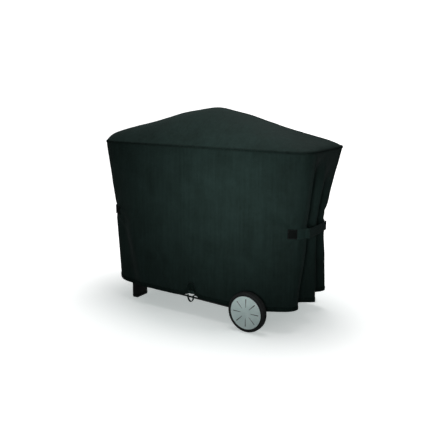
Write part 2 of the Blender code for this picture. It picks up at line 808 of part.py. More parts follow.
def catch_pan():
    box("catch_pan", (-0.09, -0.065, RAIL_TOP - 0.030), (0.09, 0.065, RAIL_TOP - 0.002), STEEL, 0.004)


def side_tables():
    for hand, word in ((1, "right"), (-1, "left")):
        xs = sorted((hand * TABLE_INNER_X, hand * TABLE_OUTER_X))
        outline = rounded_rectangle((xs[0], -TABLE_HALF_DEPTH), (xs[1], TABLE_HALF_DEPTH), TABLE_CORNER, 4)
        low_z = TABLE_TOP - TABLE_THICKNESS
        plate(f"{word}_side_table", outline, low_z, TABLE_TOP, TABLE_GREY, rounding=0.004)
        beam_xs = sorted((hand * BEAM_INNER_X, hand * BEAM_OUTER_X))
        box(
            f"{word}_table_beam",
            (beam_xs[0], -BEAM_HALF_DEPTH, RAIL_TOP + GAP),
            (beam_xs[1], BEAM_HALF_DEPTH, low_z - GAP),
            FRAME_PAINT,
            0.002,
        )


def main():
    cover_panels()
    corner_seams()
    straps()
    hem_loop()
    leg_frames()
    rails()
    for side, word in ((-1, "front"), (1, "back")):
        foot(side, word)
        axle_block(side, word)
    axle()
    wheels()
    grill_body()
    grill_fittings()
    cooking_grate()
    burner()
    catch_pan()
    side_tables()


main()
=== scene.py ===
"""A fabric cover worn on a cart grill: panels, pleats, hems, straps, wheels, and the grill beneath.

Metres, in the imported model's frame: +X towards the wheels, -Y the front, +Z up, the floor at 0.
"""

import math

import bmesh
import bpy
from mathutils import Matrix, Vector, noise


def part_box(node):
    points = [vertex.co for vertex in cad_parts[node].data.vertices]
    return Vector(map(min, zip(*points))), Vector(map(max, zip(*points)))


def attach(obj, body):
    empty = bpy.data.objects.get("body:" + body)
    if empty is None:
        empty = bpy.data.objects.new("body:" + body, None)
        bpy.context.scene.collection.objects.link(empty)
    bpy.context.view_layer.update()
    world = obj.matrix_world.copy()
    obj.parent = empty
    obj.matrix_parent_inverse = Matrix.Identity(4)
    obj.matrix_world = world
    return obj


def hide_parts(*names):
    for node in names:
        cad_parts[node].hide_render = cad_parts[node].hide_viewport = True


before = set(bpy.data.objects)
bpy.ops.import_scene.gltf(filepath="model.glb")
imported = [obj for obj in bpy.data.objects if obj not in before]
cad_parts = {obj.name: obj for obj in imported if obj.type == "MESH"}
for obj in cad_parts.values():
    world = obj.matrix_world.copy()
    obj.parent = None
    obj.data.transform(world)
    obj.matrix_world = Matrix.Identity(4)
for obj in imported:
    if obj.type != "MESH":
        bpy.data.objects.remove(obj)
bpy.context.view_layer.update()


# ---------------------------------------------------------------- sizes, from the frame

def low(node):
    return Vector(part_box(node)[0])


def high(node):
    return Vector(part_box(node)[1])


def middle(node):
    return (low(node) + high(node)) / 2


HEM_Z = low("front_hem").z
HEM_TOP = high("front_hem").z
WELT = (high("shoulder_piping").z - low("shoulder_piping").z) / 2
SEAM_Z = low("shoulder_piping").z + WELT
SHOULDER = high("shoulder_piping").x - WELT
PEAK_Z = high("top_panel").z - 0.002
STRAP_Z = middle("right_strap_tail").z
STRAP_WIDTH = high("right_strap_tail").z - low("right_strap_tail").z
STRAP_DROP = STRAP_Z - middle("right_strap_anchor").z
WAIST_HALF = 0.036
CLOTH = 0.0012

WHEEL = middle("front_tyre")
WHEEL_RADIUS = high("front_tyre").x - WHEEL.x
WHEEL_HALF_WIDTH = (high("front_tyre").y - low("front_tyre").y) / 2


# ---------------------------------------------------------------- camera and lights

CAMERA_PLACE = (1.7376, -2.7013, 1.1762)
CAMERA_DIP, CAMERA_TURN = 12.81, 32.23
LENS_MM = 48.25


def placed(name, data):
    """A new object in the scene, made from its data."""
    made = bpy.data.objects.new(name, data)
    bpy.context.scene.collection.objects.link(made)
    return made


def camera():
    data = bpy.data.cameras.new("camera")
    data.sensor_width = 36.0
    data.lens = LENS_MM
    made = placed("camera", data)
    made.location = CAMERA_PLACE
    made.rotation_euler = (math.radians(90 - CAMERA_DIP), 0, math.radians(CAMERA_TURN))
    bpy.context.scene.camera = made


def lamp(name, data, place, aim, power):
    """Hangs a light at a place, turned to its aim."""
    data.energy = power
    made = placed(name, data)
    made.location = place
    made.rotation_euler = (Vector(aim) - Vector(place)).to_track_quat("-Z", "Y").to_euler()


def softbox(name, place, aim, size, power):
    data = bpy.data.lights.new(name, "AREA")
    data.shape = "RECTANGLE"
    data.size, data.size_y = size
    lamp(name, data, place, aim, power)


def spotlight(name, place, aim, cone, power):
    """A lamp with a wide soft edge to its pool of light."""
    data = bpy.data.lights.new(name, "SPOT")
    data.spot_size = math.radians(cone)
    data.spot_blend = 1.0
    data.shadow_soft_size = 0.35
    lamp(name, data, place, aim, power)


def studio():
    scene = bpy.context.scene
    scene.view_settings.view_transform = "Standard"
    scene.view_settings.look = "None"
    world = bpy.data.worlds.new("studio")
    scene.world = world
    world.use_nodes = True
    world.node_tree.nodes["Background"].inputs["Color"].default_value = (1.0, 1.0, 1.0, 1)
    world.node_tree.nodes["Background"].inputs["Strength"].default_value = 0.14
    softbox("overhead", (0.1, 0.25, 3.6), (0, 0, 0), (2.0, 1.5), 56)
    softbox("fill", (1.6, -4.2, 0.8), (0, 0, 0.2), (2.2, 1.0), 13)
    spotlight("key", (1.25, -2.5, 0.95), (0.20, -0.25, 0.71), 26, 360)


# ---------------------------------------------------------------- workshop

def select_only(*objects):
    for other in bpy.context.selected_objects:
        other.select_set(False)
    for each in objects:
        each.select_set(True)
    if objects:
        bpy.context.view_layer.objects.active = objects[0]


def apply_all(obj):
    """Applies every modifier, in order."""
    select_only(obj)
    for modifier in list(obj.modifiers):
        bpy.ops.object.modifier_apply(modifier=modifier.name)
    return obj


def settle_place(obj):
    """Puts an object's place and turn into its mesh."""
    select_only(obj)
    bpy.ops.object.transform_apply(location=True, rotation=True, scale=True)
    return obj


def cuboid(centre, size):
    select_only()
    bpy.ops.mesh.primitive_cube_add(size=1, location=centre, scale=size)
    return settle_place(bpy.context.object)


def round_edges(obj, width, segments, sharper_than=30):
    """Adds a rounding to the edges that turn by more than an angle, in degrees."""
    rounding = obj.modifiers.new("edges", "BEVEL")
    rounding.width = width
    rounding.segments = segments
    rounding.limit_method = "ANGLE"
    rounding.angle_limit = math.radians(sharper_than)


def close_up(obj, gap):
    """Adds a weld of the points that lie closer together than a gap."""
    weld = obj.modifiers.new("close", "WELD")
    weld.merge_threshold = gap


def from_build(name, build):
    """An object made from a finished bmesh."""
    data = bpy.data.meshes.new(name)
    build.to_mesh(data)
    build.free()
    return placed(name, data)


def join_rings(build, rings):
    """Faces between each ring of points and the next."""
    for lower, upper in zip(rings, rings[1:]):
        for i in range(len(lower)):
            j = (i + 1) % len(lower)
            build.faces.new((lower[i], lower[j], upper[j], upper[i]))


# ---------------------------------------------------------------- finishes

WEAVE_PITCH = 0.0016


class Value:
    """One socket of a material. Arithmetic on it adds Math nodes."""

    def __init__(self, finish, socket):
        self.finish = finish
        self.socket = socket

    def _math(self, operation, *operands):
        sockets = {index: operand for index, operand in enumerate(operands)}
        return self.finish.add("ShaderNodeMath", {"operation": operation}, sockets)

    def __add__(self, other):
        return self._math("ADD", self, other)

    __radd__ = __add__

    def __mul__(self, other):
        return self._math("MULTIPLY", self, other)

    def __truediv__(self, other):
        return self._math("DIVIDE", self, other)

    def __abs__(self):
        return self._math("ABSOLUTE", self)

    def sine(self):
        return self._math("SINE", self)


class Finish:
    """A material in the making: its nodes, and its Principled surface."""

    def __init__(self, name):
        self.material = bpy.data.materials.new(name)
        self.material.use_nodes = True
        self.tree = self.material.node_tree
        self.surface = self.tree.nodes["Principled BSDF"]

    def add(self, kind, settings=None, sockets=None, out=0):
        """A node of a kind: its settings first, then the values or links of its sockets."""
        node = self.tree.nodes.new(kind)
        for key, setting in (settings or {}).items():
            if key == "stops":
                for stop, (place, shade) in zip(node.color_ramp.elements, setting):
                    stop.position = place
                    stop.color = (shade, shade, shade, 1)
            else:
                setattr(node, key, setting)
        for key, value in (sockets or {}).items():
            self.feed(node.inputs[key], value)
        return Value(self, node.outputs[out])

    def feed(self, socket, value):
        if isinstance(value, Value):
            self.tree.links.new(value.socket, socket)
        else:
            socket.default_value = value

    def set(self, **sockets):
        for key, value in sockets.items():
            self.feed(self.surface.inputs[key.replace("_", " ")], value)

    def place(self, stretch=(1, 1, 1)):
        """Object coordinates, stretched."""
        coordinates = self.add("ShaderNodeTexCoord", out="Object")
        return self.add("ShaderNodeMapping", None, {"Vector": coordinates, "Scale": stretch})

    def cut_place(self):
        """Where a point lies on the flat cut of its cloth, in metres: across it and along it."""
        flat = self.add("ShaderNodeUVMap")
        across = self.add("ShaderNodeSeparateXYZ", None, {0: flat}, out="X")
        along = self.add("ShaderNodeSeparateXYZ", None, {0: flat}, out="Y")
        return across, along

    def plain_weave(self):
        """Threads over and under each other, as a height from 0 to 1."""
        across, along = self.cut_place()
        turn = 2 * math.pi / WEAVE_PITCH
        return abs((across * turn).sine()) * 0.5 + abs((along * turn).sine()) * 0.5

    def noise(self, scale, detail=3.0, roughness=0.5, stretch=(1, 1, 1)):
        sockets = {"Vector": self.place(stretch), "Scale": scale, "Detail": detail, "Roughness": roughness}
        return self.add("ShaderNodeTexNoise", None, sockets)

    def ramp(self, value, start, end):
        """Black up to a start, white from an end."""
        return self.add("ShaderNodeValToRGB", {"stops": ((start, 0.0), (end, 1.0))}, {0: value})

    def blend(self, share, first, second):
        """A colour between two, by a share from 0 to 1."""
        sockets = {"Factor": share, 6: first, 7: second}
        return self.add("ShaderNodeMix", {"data_type": "RGBA"}, sockets, out=2)

    def relief(self, height, depth, strength=1.0):
        sockets = {"Height": height, "Distance": depth, "Strength": strength}
        self.set(Normal=self.add("ShaderNodeBump", None, sockets))


def colour(red, green, blue):
    return (red, green, blue, 1.0)


def cover_cloth():
    """Matt coated polyester: a fine plain weave, cloudy wear, a dull sheen."""
    made = Finish("cover_cloth")
    weave = made.plain_weave()
    clouds = made.noise(9.0, 4.0, 0.6)
    dust = made.noise(55.0, 5.0, 0.7)
    streaks = made.noise(78.0, 2.0, 0.6, (1, 1, 0.05))
    share = made.ramp(clouds * 0.44 + dust * 0.22 + streaks * 0.26 + weave * 0.08, 0.36, 0.68)
    base = made.blend(share, colour(0.0046, 0.0125, 0.0102), colour(0.0125, 0.0265, 0.0236))
    made.set(Base_Color=base, Roughness=0.66 + clouds * 0.22, Specular_IOR_Level=0.12)
    made.set(Sheen_Weight=0.03, Sheen_Roughness=0.45, Sheen_Tint=colour(0.75, 0.9, 0.88))
    made.relief(weave + dust * 0.8 + streaks * 0.5, 0.00035, 0.6)
    return made.material


def hem_cloth_painted_shade():
    """The hem and binding: the same cloth, doubled, its colour darker than the cover's as painted shade for
    the dark lines along the seams.
    """
    made = Finish("hem_cloth_painted_shade")
    weave = made.plain_weave()
    dust = made.noise(60.0, 5.0, 0.7)
    share = made.ramp(dust, 0.3, 0.75)
    # Painted shade: a base about a third darker than the cover cloth's, for the shade line along the seams.
    base = made.blend(share, colour(0.0030, 0.0085, 0.0068), colour(0.0082, 0.0180, 0.0156))
    made.set(Base_Color=base, Roughness=0.70 + dust * 0.18, Specular_IOR_Level=0.08)
    made.relief(weave + dust * 0.8, 0.00035, 0.6)
    return made.material


def webbing():
    """Flat woven strap: a herringbone rib along its length, with bound edges."""
    made = Finish("strap_webbing")
    across, along = made.cut_place()
    zigzag = abs((across * (2 * math.pi / 0.0125)).sine())
    rib = abs(((along + zigzag * 0.0016) * (2 * math.pi / 0.0034)).sine())
    fuzz = made.noise(420.0, 2.0, 0.6)
    shade = made.ramp(rib * 0.7 + fuzz * 0.3, 0.15, 0.95)
    base = made.blend(shade, colour(0.0048, 0.0140, 0.0118), colour(0.0190, 0.0400, 0.0350))
    made.set(Base_Color=base, Roughness=0.64 + fuzz * 0.25, Specular_IOR_Level=0.12)
    made.relief(rib + fuzz * 0.25, 0.0006, 0.8)
    return made.material


def hook_and_loop():
    """Fuzzy tape: near black, with a nap that catches no light."""
    made = Finish("hook_and_loop")
    nap = made.noise(900.0, 2.0, 0.8)
    tufts = made.noise(260.0, 3.0, 0.7)
    share = made.ramp(tufts, 0.35, 0.75)
    base = made.blend(share, colour(0.0020, 0.0030, 0.0028), colour(0.0060, 0.0085, 0.0080))
    made.set(Base_Color=base, Roughness=0.95, Specular_IOR_Level=0.12)
    made.relief(nap * 0.6 + tufts, 0.0009, 1.0)
    return made.material


def thread():
    made = Finish("black_thread")
    twist = made.noise(2600.0, 1.0, 0.5)
    base = made.blend(twist, colour(0.008, 0.012, 0.011), colour(0.028, 0.036, 0.034))
    made.set(Base_Color=base, Roughness=0.6, Specular_IOR_Level=0.3)
    made.relief(twist, 0.0002, 0.6)
    return made.material


def tyre_rubber():
    made = Finish("tyre_rubber")
    grain = made.noise(700.0, 3.0, 0.6)
    dust = made.noise(38.0, 4.0, 0.65)
    share = made.ramp(dust, 0.40, 0.72)
    base = made.blend(share, colour(0.0075, 0.0095, 0.0095), colour(0.0180, 0.0215, 0.0215))
    made.set(Base_Color=base, Roughness=0.62 + dust * 0.25, Specular_IOR_Level=0.35)
    made.relief(grain, 0.0002, 0.6)
    return made.material


def cap_plastic():
    """Pale grey moulded plastic with a soft satin surface."""
    made = Finish("hub_cap_grey")
    haze = made.noise(24.0, 4.0, 0.6)
    grain = made.noise(900.0, 2.0, 0.5)
    base = made.blend(made.ramp(haze, 0.35, 0.70), colour(0.680, 0.850, 0.830), colour(0.780, 0.940, 0.920))
    made.set(Base_Color=base, Roughness=0.38 + haze * 0.16, Specular_IOR_Level=0.5)
    made.relief(grain, 0.00012, 0.5)
    return made.material


def moulded_plastic():
    """Black plastic with a fine leather grain from the mould."""
    made = Finish("black_plastic")
    pebble = made.noise(520.0, 2.0, 0.5)
    haze = made.noise(30.0, 3.0, 0.6)
    share = made.ramp(haze, 0.35, 0.75)
    base = made.blend(share, colour(0.0012, 0.0030, 0.0026), colour(0.0040, 0.0070, 0.0064))
    made.set(Base_Color=base, Roughness=0.46 + haze * 0.22, Specular_IOR_Level=0.22)
    made.relief(pebble, 0.00025, 0.7)
    return made.material


def powder_coat():
    """Black powder coat: a slight orange peel, with dust lying on it."""
    made = Finish("frame_paint")
    peel = made.noise(330.0, 2.0, 0.5)
    dust = made.noise(20.0, 5.0, 0.7)
    base = made.blend(made.ramp(dust, 0.45, 0.75), colour(0.012, 0.013, 0.014), colour(0.030, 0.032, 0.032))
    made.set(Base_Color=base, Roughness=0.30 + dust * 0.25, Specular_IOR_Level=0.5)
    made.relief(peel, 0.0002, 0.5)
    return made.material


def zinc():
    made = Finish("zinc_steel")
    bloom = made.noise(90.0, 4.0, 0.6)
    drawn = made.noise(240.0, 2.0, 0.5, (1, 0.05, 1))
    base = made.blend(made.ramp(bloom, 0.3, 0.7), colour(0.40, 0.41, 0.42), colour(0.58, 0.59, 0.60))
    made.set(Base_Color=base, Metallic=1.0, Roughness=0.24 + bloom * 0.2)
    made.relief(drawn, 0.0001, 0.5)
    return made.material


def casting_paint():
    """Heat-proof paint on cast aluminium: charcoal, satin, faintly pitted."""
    made = Finish("grill_casting")
    pits = made.noise(260.0, 3.0, 0.65)
    clouds = made.noise(7.0, 4.0, 0.6)
    base = made.blend(made.ramp(clouds, 0.35, 0.7), colour(0.055, 0.060, 0.066), colour(0.095, 0.100, 0.106))
    made.set(Base_Color=base, Metallic=0.35, Roughness=0.34 + pits * 0.22, Specular_IOR_Level=0.5)
    made.relief(pits, 0.0003, 0.6)
    return made.material


def table_plastic():
    made = Finish("table_plastic")
    pebble = made.noise(300.0, 3.0, 0.6)
    wear = made.noise(14.0, 4.0, 0.65)
    base = made.blend(made.ramp(wear, 0.35, 0.7), colour(0.045, 0.048, 0.050), colour(0.078, 0.082, 0.084))
    made.set(Base_Color=base, Roughness=0.50 + wear * 0.2, Specular_IOR_Level=0.4)
    made.relief(pebble, 0.0004, 0.7)
    return made.material


def cast_iron():
    made = Finish("cast_iron")
    pits = made.noise(420.0, 4.0, 0.7)
    soot = made.noise(26.0, 4.0, 0.7)
    base = made.blend(made.ramp(soot, 0.35, 0.7), colour(0.010, 0.010, 0.011), colour(0.028, 0.027, 0.026))
    made.set(Base_Color=base, Metallic=0.4, Roughness=0.55 + soot * 0.25)
    made.relief(pits, 0.0004, 0.8)
    return made.material


def floor_white():
    """White paper that glows: painted light, dimmest near the object and full white away from it, so that it
    stays white away from the object.
    """
    made = Finish("floor_white")
    made.set(Base_Color=colour(0.92, 0.92, 0.92), Roughness=0.9, Specular_IOR_Level=0.0)
    away = made.add("ShaderNodeVectorMath", {"operation": "LENGTH"}, {0: made.place()}, out="Value")
    # Painted light: the floor's own glow, 0.38 within about 0.4 m of the middle, rising to full white beyond
    # about 1.4 m.
    glow = made.blend(made.ramp(away / 4.0, 0.10, 0.36), colour(0.38, 0.41, 0.405), colour(1.0, 1.0, 1.0))
    made.set(Emission_Color=glow, Emission_Strength=1.0)
    return made.material


CLOTH_FINISH = cover_cloth()
HEM_FINISH_PAINTED_SHADE = hem_cloth_painted_shade()
WEBBING = webbing()
TAPE = hook_and_loop()
THREAD = thread()
TYRE = tyre_rubber()
CAP = cap_plastic()
PLASTIC = moulded_plastic()
PAINT = powder_coat()
ZINC = zinc()
CASTING = casting_paint()
TABLE = table_plastic()
IRON = cast_iron()


def piece(obj, name, finish, body, replaced=(), smooth_angle=40):
    """Names a finished piece, gives it its finish, and fixes it to the body it moves with."""
    obj.name = name
    obj.data.name = name
    obj.data.materials.clear()
    obj.data.materials.append(finish)
    select_only(obj)
    bpy.ops.object.shade_smooth_by_angle(angle=math.radians(smooth_angle))
    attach(obj, body)
    if replaced:
        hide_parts(*replaced)
    return obj


# ---------------------------------------------------------------- the cover's plain shape

def smooth(value):
    value = min(max(value, 0.0), 1.0)
    return value * value * (3 - 2 * value)


def mix(a, b, share):
    return a + (b - a) * share


def hump(distance, width):
    """1 at no distance, falling away smoothly to nothing a width or two off."""
    return math.exp(-((distance / width) ** 2))


def by_height(z, hem, waist, seam):
    """A size that changes between the hem, the band under the straps and the shoulder seam."""
    if z >= STRAP_Z:
        share = (z - STRAP_Z - WAIST_HALF) / (SEAM_Z - STRAP_Z - WAIST_HALF)
        return mix(waist, seam, min(max(share, 0.0), 1.0))
    share = (STRAP_Z - WAIST_HALF - z) / (STRAP_Z - WAIST_HALF - HEM_Z)
    return mix(waist, hem, smooth(share))


# Each size at the hem, under the straps and at the shoulder seam.
FRONT_CORNER_X, FRONT_CORNER_Y = (0.564, 0.593, SHOULDER), (0.160, 0.140, 0.150)
BACK_CORNER_X, BACK_CORNER_Y = (0.557, 0.543, SHOULDER), (0.178, 0.180, 0.150)
PANEL_DEPTH, PANEL_SQUARENESS = (0.252, 0.240, 0.236), (6.0, 6.5, 14.0)
PLEAT_RIDGE_X, PLEAT_RIDGE_Y = (0.586, 0.574, SHOULDER), (-0.010, 0.008, 0.0)
FRONT_VALLEY_X, FRONT_VALLEY_Y = 0.502, (-0.086, -0.072, -0.075)
BACK_VALLEY_X, BACK_VALLEY_Y = 0.492, (0.086, 0.092, 0.075)


def front_corner(z):
    return Vector((by_height(z, *FRONT_CORNER_X), -by_height(z, *FRONT_CORNER_Y)))


def back_corner(z):
    return Vector((by_height(z, *BACK_CORNER_X), by_height(z, *BACK_CORNER_Y)))


def panel_point(across, z, corner, side):
    """A point of the front (side -1) or back (side +1); across runs -1 to 1 between the corner ridges."""
    ridge = corner(z)
    rounding = max(0.0, 1 - abs(across) ** by_height(z, *PANEL_SQUARENESS)) ** 0.5
    depth = mix(abs(ridge.y), by_height(z, *PANEL_DEPTH), rounding)
    return Vector((across * ridge.x, side * depth, z))


def pleat_corners(z):
    """The zigzag of the right-hand end in plan: ridge, valley, middle ridge, valley, ridge."""
    front, back = front_corner(z), back_corner(z)
    fold = smooth((SEAM_Z - 0.012 - z) / (SEAM_Z - STRAP_Z - 0.06)) ** 0.72
    valley_front = Vector((FRONT_VALLEY_X, by_height(z, *FRONT_VALLEY_Y)))
    ridge = Vector((by_height(z, *PLEAT_RIDGE_X), by_height(z, *PLEAT_RIDGE_Y)))
    valley_back = Vector((BACK_VALLEY_X, by_height(z, *BACK_VALLEY_Y)))
    flat = [front.lerp(back, share) for share in (0.0, 0.25, 0.5, 0.75, 1.0)]
    folded = [front, valley_front, ridge, valley_back, back]
    depths = (fold, fold, fold, fold ** 2.4, fold)
    return [a.lerp(b, depth) for a, b, depth in zip(flat, folded, depths)]


def pleat_point(along, z):
    """A point of the right-hand end; along runs 0 at the front ridge to 1 at the back one."""
    corners = pleat_corners(z)
    place = min(max(along, 0.0), 1.0) * (len(corners) - 1)
    first = min(int(place), len(corners) - 2)
    share = place - first
    a, b = corners[first], corners[first + 1]
    return Vector((mix(a.x, b.x, mix(share, smooth(share), 0.8)), mix(a.y, b.y, share), z))


def roof_height(x):
    """The line of the tent along the top: a rounded peak over the lid, fuller on its left."""
    peak_x = 0.014
    rounding, slope = (0.236, 0.322) if x < peak_x else (0.083, 0.308)
    return PEAK_Z - slope * (math.hypot(x - peak_x, rounding) - rounding)


def roof_point(across, v):
    """A point of the top; across runs -1 to 1 along X, v from -1 at the front seam to 1 at the back."""
    x = across * SHOULDER
    half_depth = abs(panel_point(across, SEAM_Z, front_corner, -1).y)
    end_roll = max(0.0, 1 - abs(across) ** 60) ** 0.5
    flatness = 1.75 + 2.6 * across ** 2
    rise = (roof_height(x) - SEAM_Z) * end_roll * (1 - abs(v) ** flatness)
    return Vector((x, v * half_depth, SEAM_Z + rise))


# ---------------------------------------------------------------- how the cloth hangs

def outward(p):
    """The level direction that faces out of the cover's sides at a point."""
    x, y = p.x / 0.58, p.y / 0.25
    away = Vector((math.copysign(abs(x) ** 5, x) / 0.58, math.copysign(abs(y) ** 5, y) / 0.25, 0))
    return away.normalized() if away.length > 1e-9 else Vector((0, -1, 0))


def creased(p, scale):
    """Soft plains between sharper creases, about -1 to 1."""
    return 1 - 2.6 * abs(noise.noise(p * scale))


def slant_fold(p, start, end, width, rise):
    """A fold that runs between two points of a wall's (x, z): raised on one side, sunk on the other."""
    run = Vector(end) - Vector(start)
    length = run.length
    from_start = Vector((p.x, p.z)) - Vector(start)
    along = from_start.dot(run) / length
    off = from_start.dot(Vector((run.y, -run.x))) / length
    fade = smooth(along / (0.25 * length)) * smooth((length * 1.12 - along) / (0.3 * length))
    return rise * fade * (hump(off - width * 0.7, width) - 1.1 * hump(off + width * 0.7, width))


STRAP_PULL = [Vector((hand * 0.56, 0, STRAP_Z)) for hand in (-1, 1)]
LOOP = middle("hem_loop")

# Folds of the front and back: the (x, z) of each end, then the width and the rise.
FRONT_FOLDS = (
    ((-0.475, 0.50), (-0.375, HEM_Z), 0.056, -0.0165),
    ((-0.30, 0.36), (-0.075, HEM_Z), 0.020, 0.0030),
    ((0.20, 0.42), (0.02, HEM_Z), 0.030, -0.0036),
    ((0.30, 0.40), (0.43, HEM_Z), 0.026, 0.0034),
    ((-0.57, 0.84), (-0.30, 0.62), 0.030, 0.0020),
)
BACK_FOLDS = (
    ((0.50, 0.45), (0.36, HEM_Z), 0.026, 0.0050),
    ((-0.48, 0.50), (-0.30, HEM_Z), 0.028, 0.0045),
    ((-0.10, 0.80), (0.10, 0.30), 0.035, 0.0020),
)


def side_fold(p):
    """How far a side of the cover stands out of its plain shape, in metres."""
    drop = smooth((0.70 - p.z) / 0.60)
    tied = smooth((SEAM_Z - p.z) / 0.05)
    warped = Vector((p.x, p.y, p.z)) + noise.noise_vector(p * 2.3) * 0.05
    flutes = noise.noise(Vector((warped.x * 6.5, warped.y * 6.5, warped.z * 1.3 + 4)))
    broad = noise.noise(Vector((p.x * 2.6 + 9, p.y * 2.6, p.z * 2.2)))
    out = (0.0020 + 0.0060 * drop) * flutes + 0.0045 * broad
    out += 0.0011 * creased(warped + Vector((3, 1, 7)), 7.0) + 0.0005 * noise.noise(p * 34)
    if abs(p.y) > 0.13:
        for pull in STRAP_PULL:
            reach = math.hypot(p.x - pull.x, p.z - pull.z)
            angle = math.atan2(p.z - pull.z, abs(pull.x) - abs(p.x) + 0.02)
            wave = math.cos(9.0 * angle + 1.3 * flutes + (0.9 if p.y > 0 else 0))
            out += 0.0036 * wave * math.exp(-reach / 0.15) * smooth(reach / 0.06)
        out -= 0.004 * hump(p.z - STRAP_Z, 0.05) * smooth((abs(p.x) - 0.40) / 0.15)
    if p.y < -0.1:
        for fold in FRONT_FOLDS:
            out += slant_fold(p, *fold)
        off = p.x - LOOP.x
        rise = max(p.z - HEM_Z, 0)
        out -= 0.013 * hump(off, 0.030) * hump(rise, 0.075)
        out += 0.0070 * math.cos(2 * math.pi * off / 0.026) * hump(off, 0.042) * math.exp(-rise / 0.060)
    elif p.y > 0.1:
        for fold in BACK_FOLDS:
            out += slant_fold(p, *fold)
    pucker = 0.0009 * math.sin(2 * math.pi * (p.x + p.y) / 0.019 + 5 * flutes)
    out += pucker * hump(p.z - SEAM_Z + 0.02, 0.022)
    return out * tied + 0.0006 * pucker


def roof_fold(p):
    """How far the top stands above its plain shape, in metres."""
    lid = smooth((0.34 - abs(p.x + 0.01)) / 0.12)
    slack = hump(abs(p.x + 0.01) - 0.36, 0.10)
    warped = p + noise.noise_vector(p * 3.1) * 0.04
    out = 0.0030 * noise.noise(Vector((warped.x * 4.5, warped.y * 9.0, 2.0)))
    out += 0.0012 * creased(warped, 6.0) + 0.0005 * noise.noise(p * 31)
    out -= 0.0050 * slack * hump(p.y, 0.16)
    out += 0.0014 * lid * math.cos(2 * math.pi * p.x / 0.21 + 3 * p.y) * hump(p.y, 0.14)
    return out


def front_sag(p):
    """How far the front hangs below its plain shape: most at the hem between the foot and the wheel."""
    if p.y > -0.1:
        return 0
    between = smooth((0.57 - abs(p.x + 0.05)) / 0.17)
    gathered = hump(p.x - LOOP.x, 0.045)
    return 0.015 * smooth((0.46 - p.z) / 0.34) * between * (1 - gathered)


def hung(p):
    """A point of a side where the cloth really hangs."""
    return p + outward(p) * side_fold(p) - Vector((0, 0, front_sag(p)))


def across_of(u):
    """-1 to 1 along a panel, with its points closer together at the corners."""
    c = 2 * u - 1
    return math.copysign(1 - (1 - abs(c)) ** 1.5, c)


def front_at(u, z):
    return hung(panel_point(across_of(u), z, front_corner, -1))


def back_at(u, z):
    return hung(panel_point(across_of(1 - u), z, back_corner, 1))


def right_at(u, z):
    return hung(pleat_point(u, z))


def left_at(u, z):
    p = pleat_point(1 - u, z)
    return hung(Vector((-p.x, p.y, p.z)))


def roof_at(u, v):
    across, down = across_of(u), across_of(v)
    p = roof_point(across, down)
    edge = smooth((1 - abs(down)) / 0.10) * smooth((1 - abs(across)) / 0.03)
    return p + Vector((0, 0, roof_fold(p) * edge))


SIDES = {
    "Front": (front_at, "front_panel", "front_hem", 200),
    "Back": (back_at, "back_panel", "back_hem", 150),
    "Right": (right_at, "right_gusset", "right_gusset_hem", 84),
    "Left": (left_at, "left_gusset", "left_gusset_hem", 84),
}


def facing(at, u, z):
    """The direction a side faces at a point."""
    step = 0.004
    along = at(min(u + step, 1), z) - at(max(u - step, 0), z)
    up = at(u, z + step) - at(u, z - step)
    return along.cross(up).normalized()


# ---------------------------------------------------------------- making cloth

def cloth_grid(columns, rows, size, place):
    """A flat grid of cloth, its cut size kept as its UV map in metres, each point moved to where it hangs."""
    select_only()
    bpy.ops.mesh.primitive_grid_add(x_subdivisions=columns, y_subdivisions=rows, size=1)
    made = bpy.context.object
    for corner in made.data.uv_layers[0].data:
        corner.uv = (corner.uv[0] * size[0], corner.uv[1] * size[1])
    for vertex in made.data.vertices:
        vertex.co = place(vertex.co.x + 0.5, vertex.co.y + 0.5)
    return made


def thicken(obj, thickness, edge=0.0):
    wall = obj.modifiers.new("cloth", "SOLIDIFY")
    wall.thickness = thickness
    wall.offset = -1
    if edge:
        round_edges(obj, edge, 2, 55)
    return apply_all(obj)


HEM_LAP = 0.005
SIDE_LOW = HEM_TOP - HEM_LAP
CUT_WIDTH = {"Front": 1.36, "Back": 1.34, "Right": 0.40, "Left": 0.40}


def side_cloths():
    """The four sides, each with its hem as a folded band, sewn on."""
    for word, (at, panel, hem, columns) in SIDES.items():
        size = (CUT_WIDTH[word], SEAM_Z - SIDE_LOW)
        cloth = cloth_grid(columns, 108, size, lambda u, v: at(u, mix(SIDE_LOW, SEAM_Z, v)))
        thicken(cloth, CLOTH)
        piece(cloth, f"{word}_cloth", CLOTH_FINISH, "cover", (panel,), 60)

        def band(u, v, at=at):
            """The hem: pinched at the stitching, full below it, with its edge rolled under."""
            z = mix(HEM_Z, HEM_TOP, v)
            roll = 0.0016 * math.sin(math.pi * v) ** 0.6 - 0.0012 * smooth((0.12 - v) / 0.12)
            drift = 4 * noise.noise(Vector((u * 30, 0, 3)))
            ripple = 0.0007 * math.sin(2 * math.pi * u * size[0] / 0.017 + drift)
            p = at(u, z)
            waver = 0.0022 * noise.noise(p * 11) * (1 - v)
            return p + outward(p) * (0.0009 + roll + ripple * v) + Vector((0, 0, waver))

        edge = cloth_grid(columns, 8, (size[0], HEM_TOP - HEM_Z), band)
        thicken(edge, 0.0028, 0.0008)
        piece(edge, f"{word}_hem_band", HEM_FINISH_PAINTED_SHADE, "cover", (hem,), 60)


def top_cloth():
    size = (1.33, 0.58)
    cloth = cloth_grid(170, 76, size, lambda u, v: roof_at(u, v))
    thicken(cloth, CLOTH)
    piece(cloth, "Peaked_top", CLOTH_FINISH, "cover", ("top_panel",), 60)


def ring_of(z_rise, out, count):
    """Points round the shoulder seam, each with the way it faces, front then right, back and left."""
    ring = []
    for word in ("Front", "Right", "Back", "Left"):
        at = SIDES[word][0]
        steps = round(count * CUT_WIDTH[word])
        for step in range(steps):
            p = at(step / steps, SEAM_Z)
            ring.append((p + outward(p) * out + Vector((0, 0, z_rise)), outward(p)))
    return ring


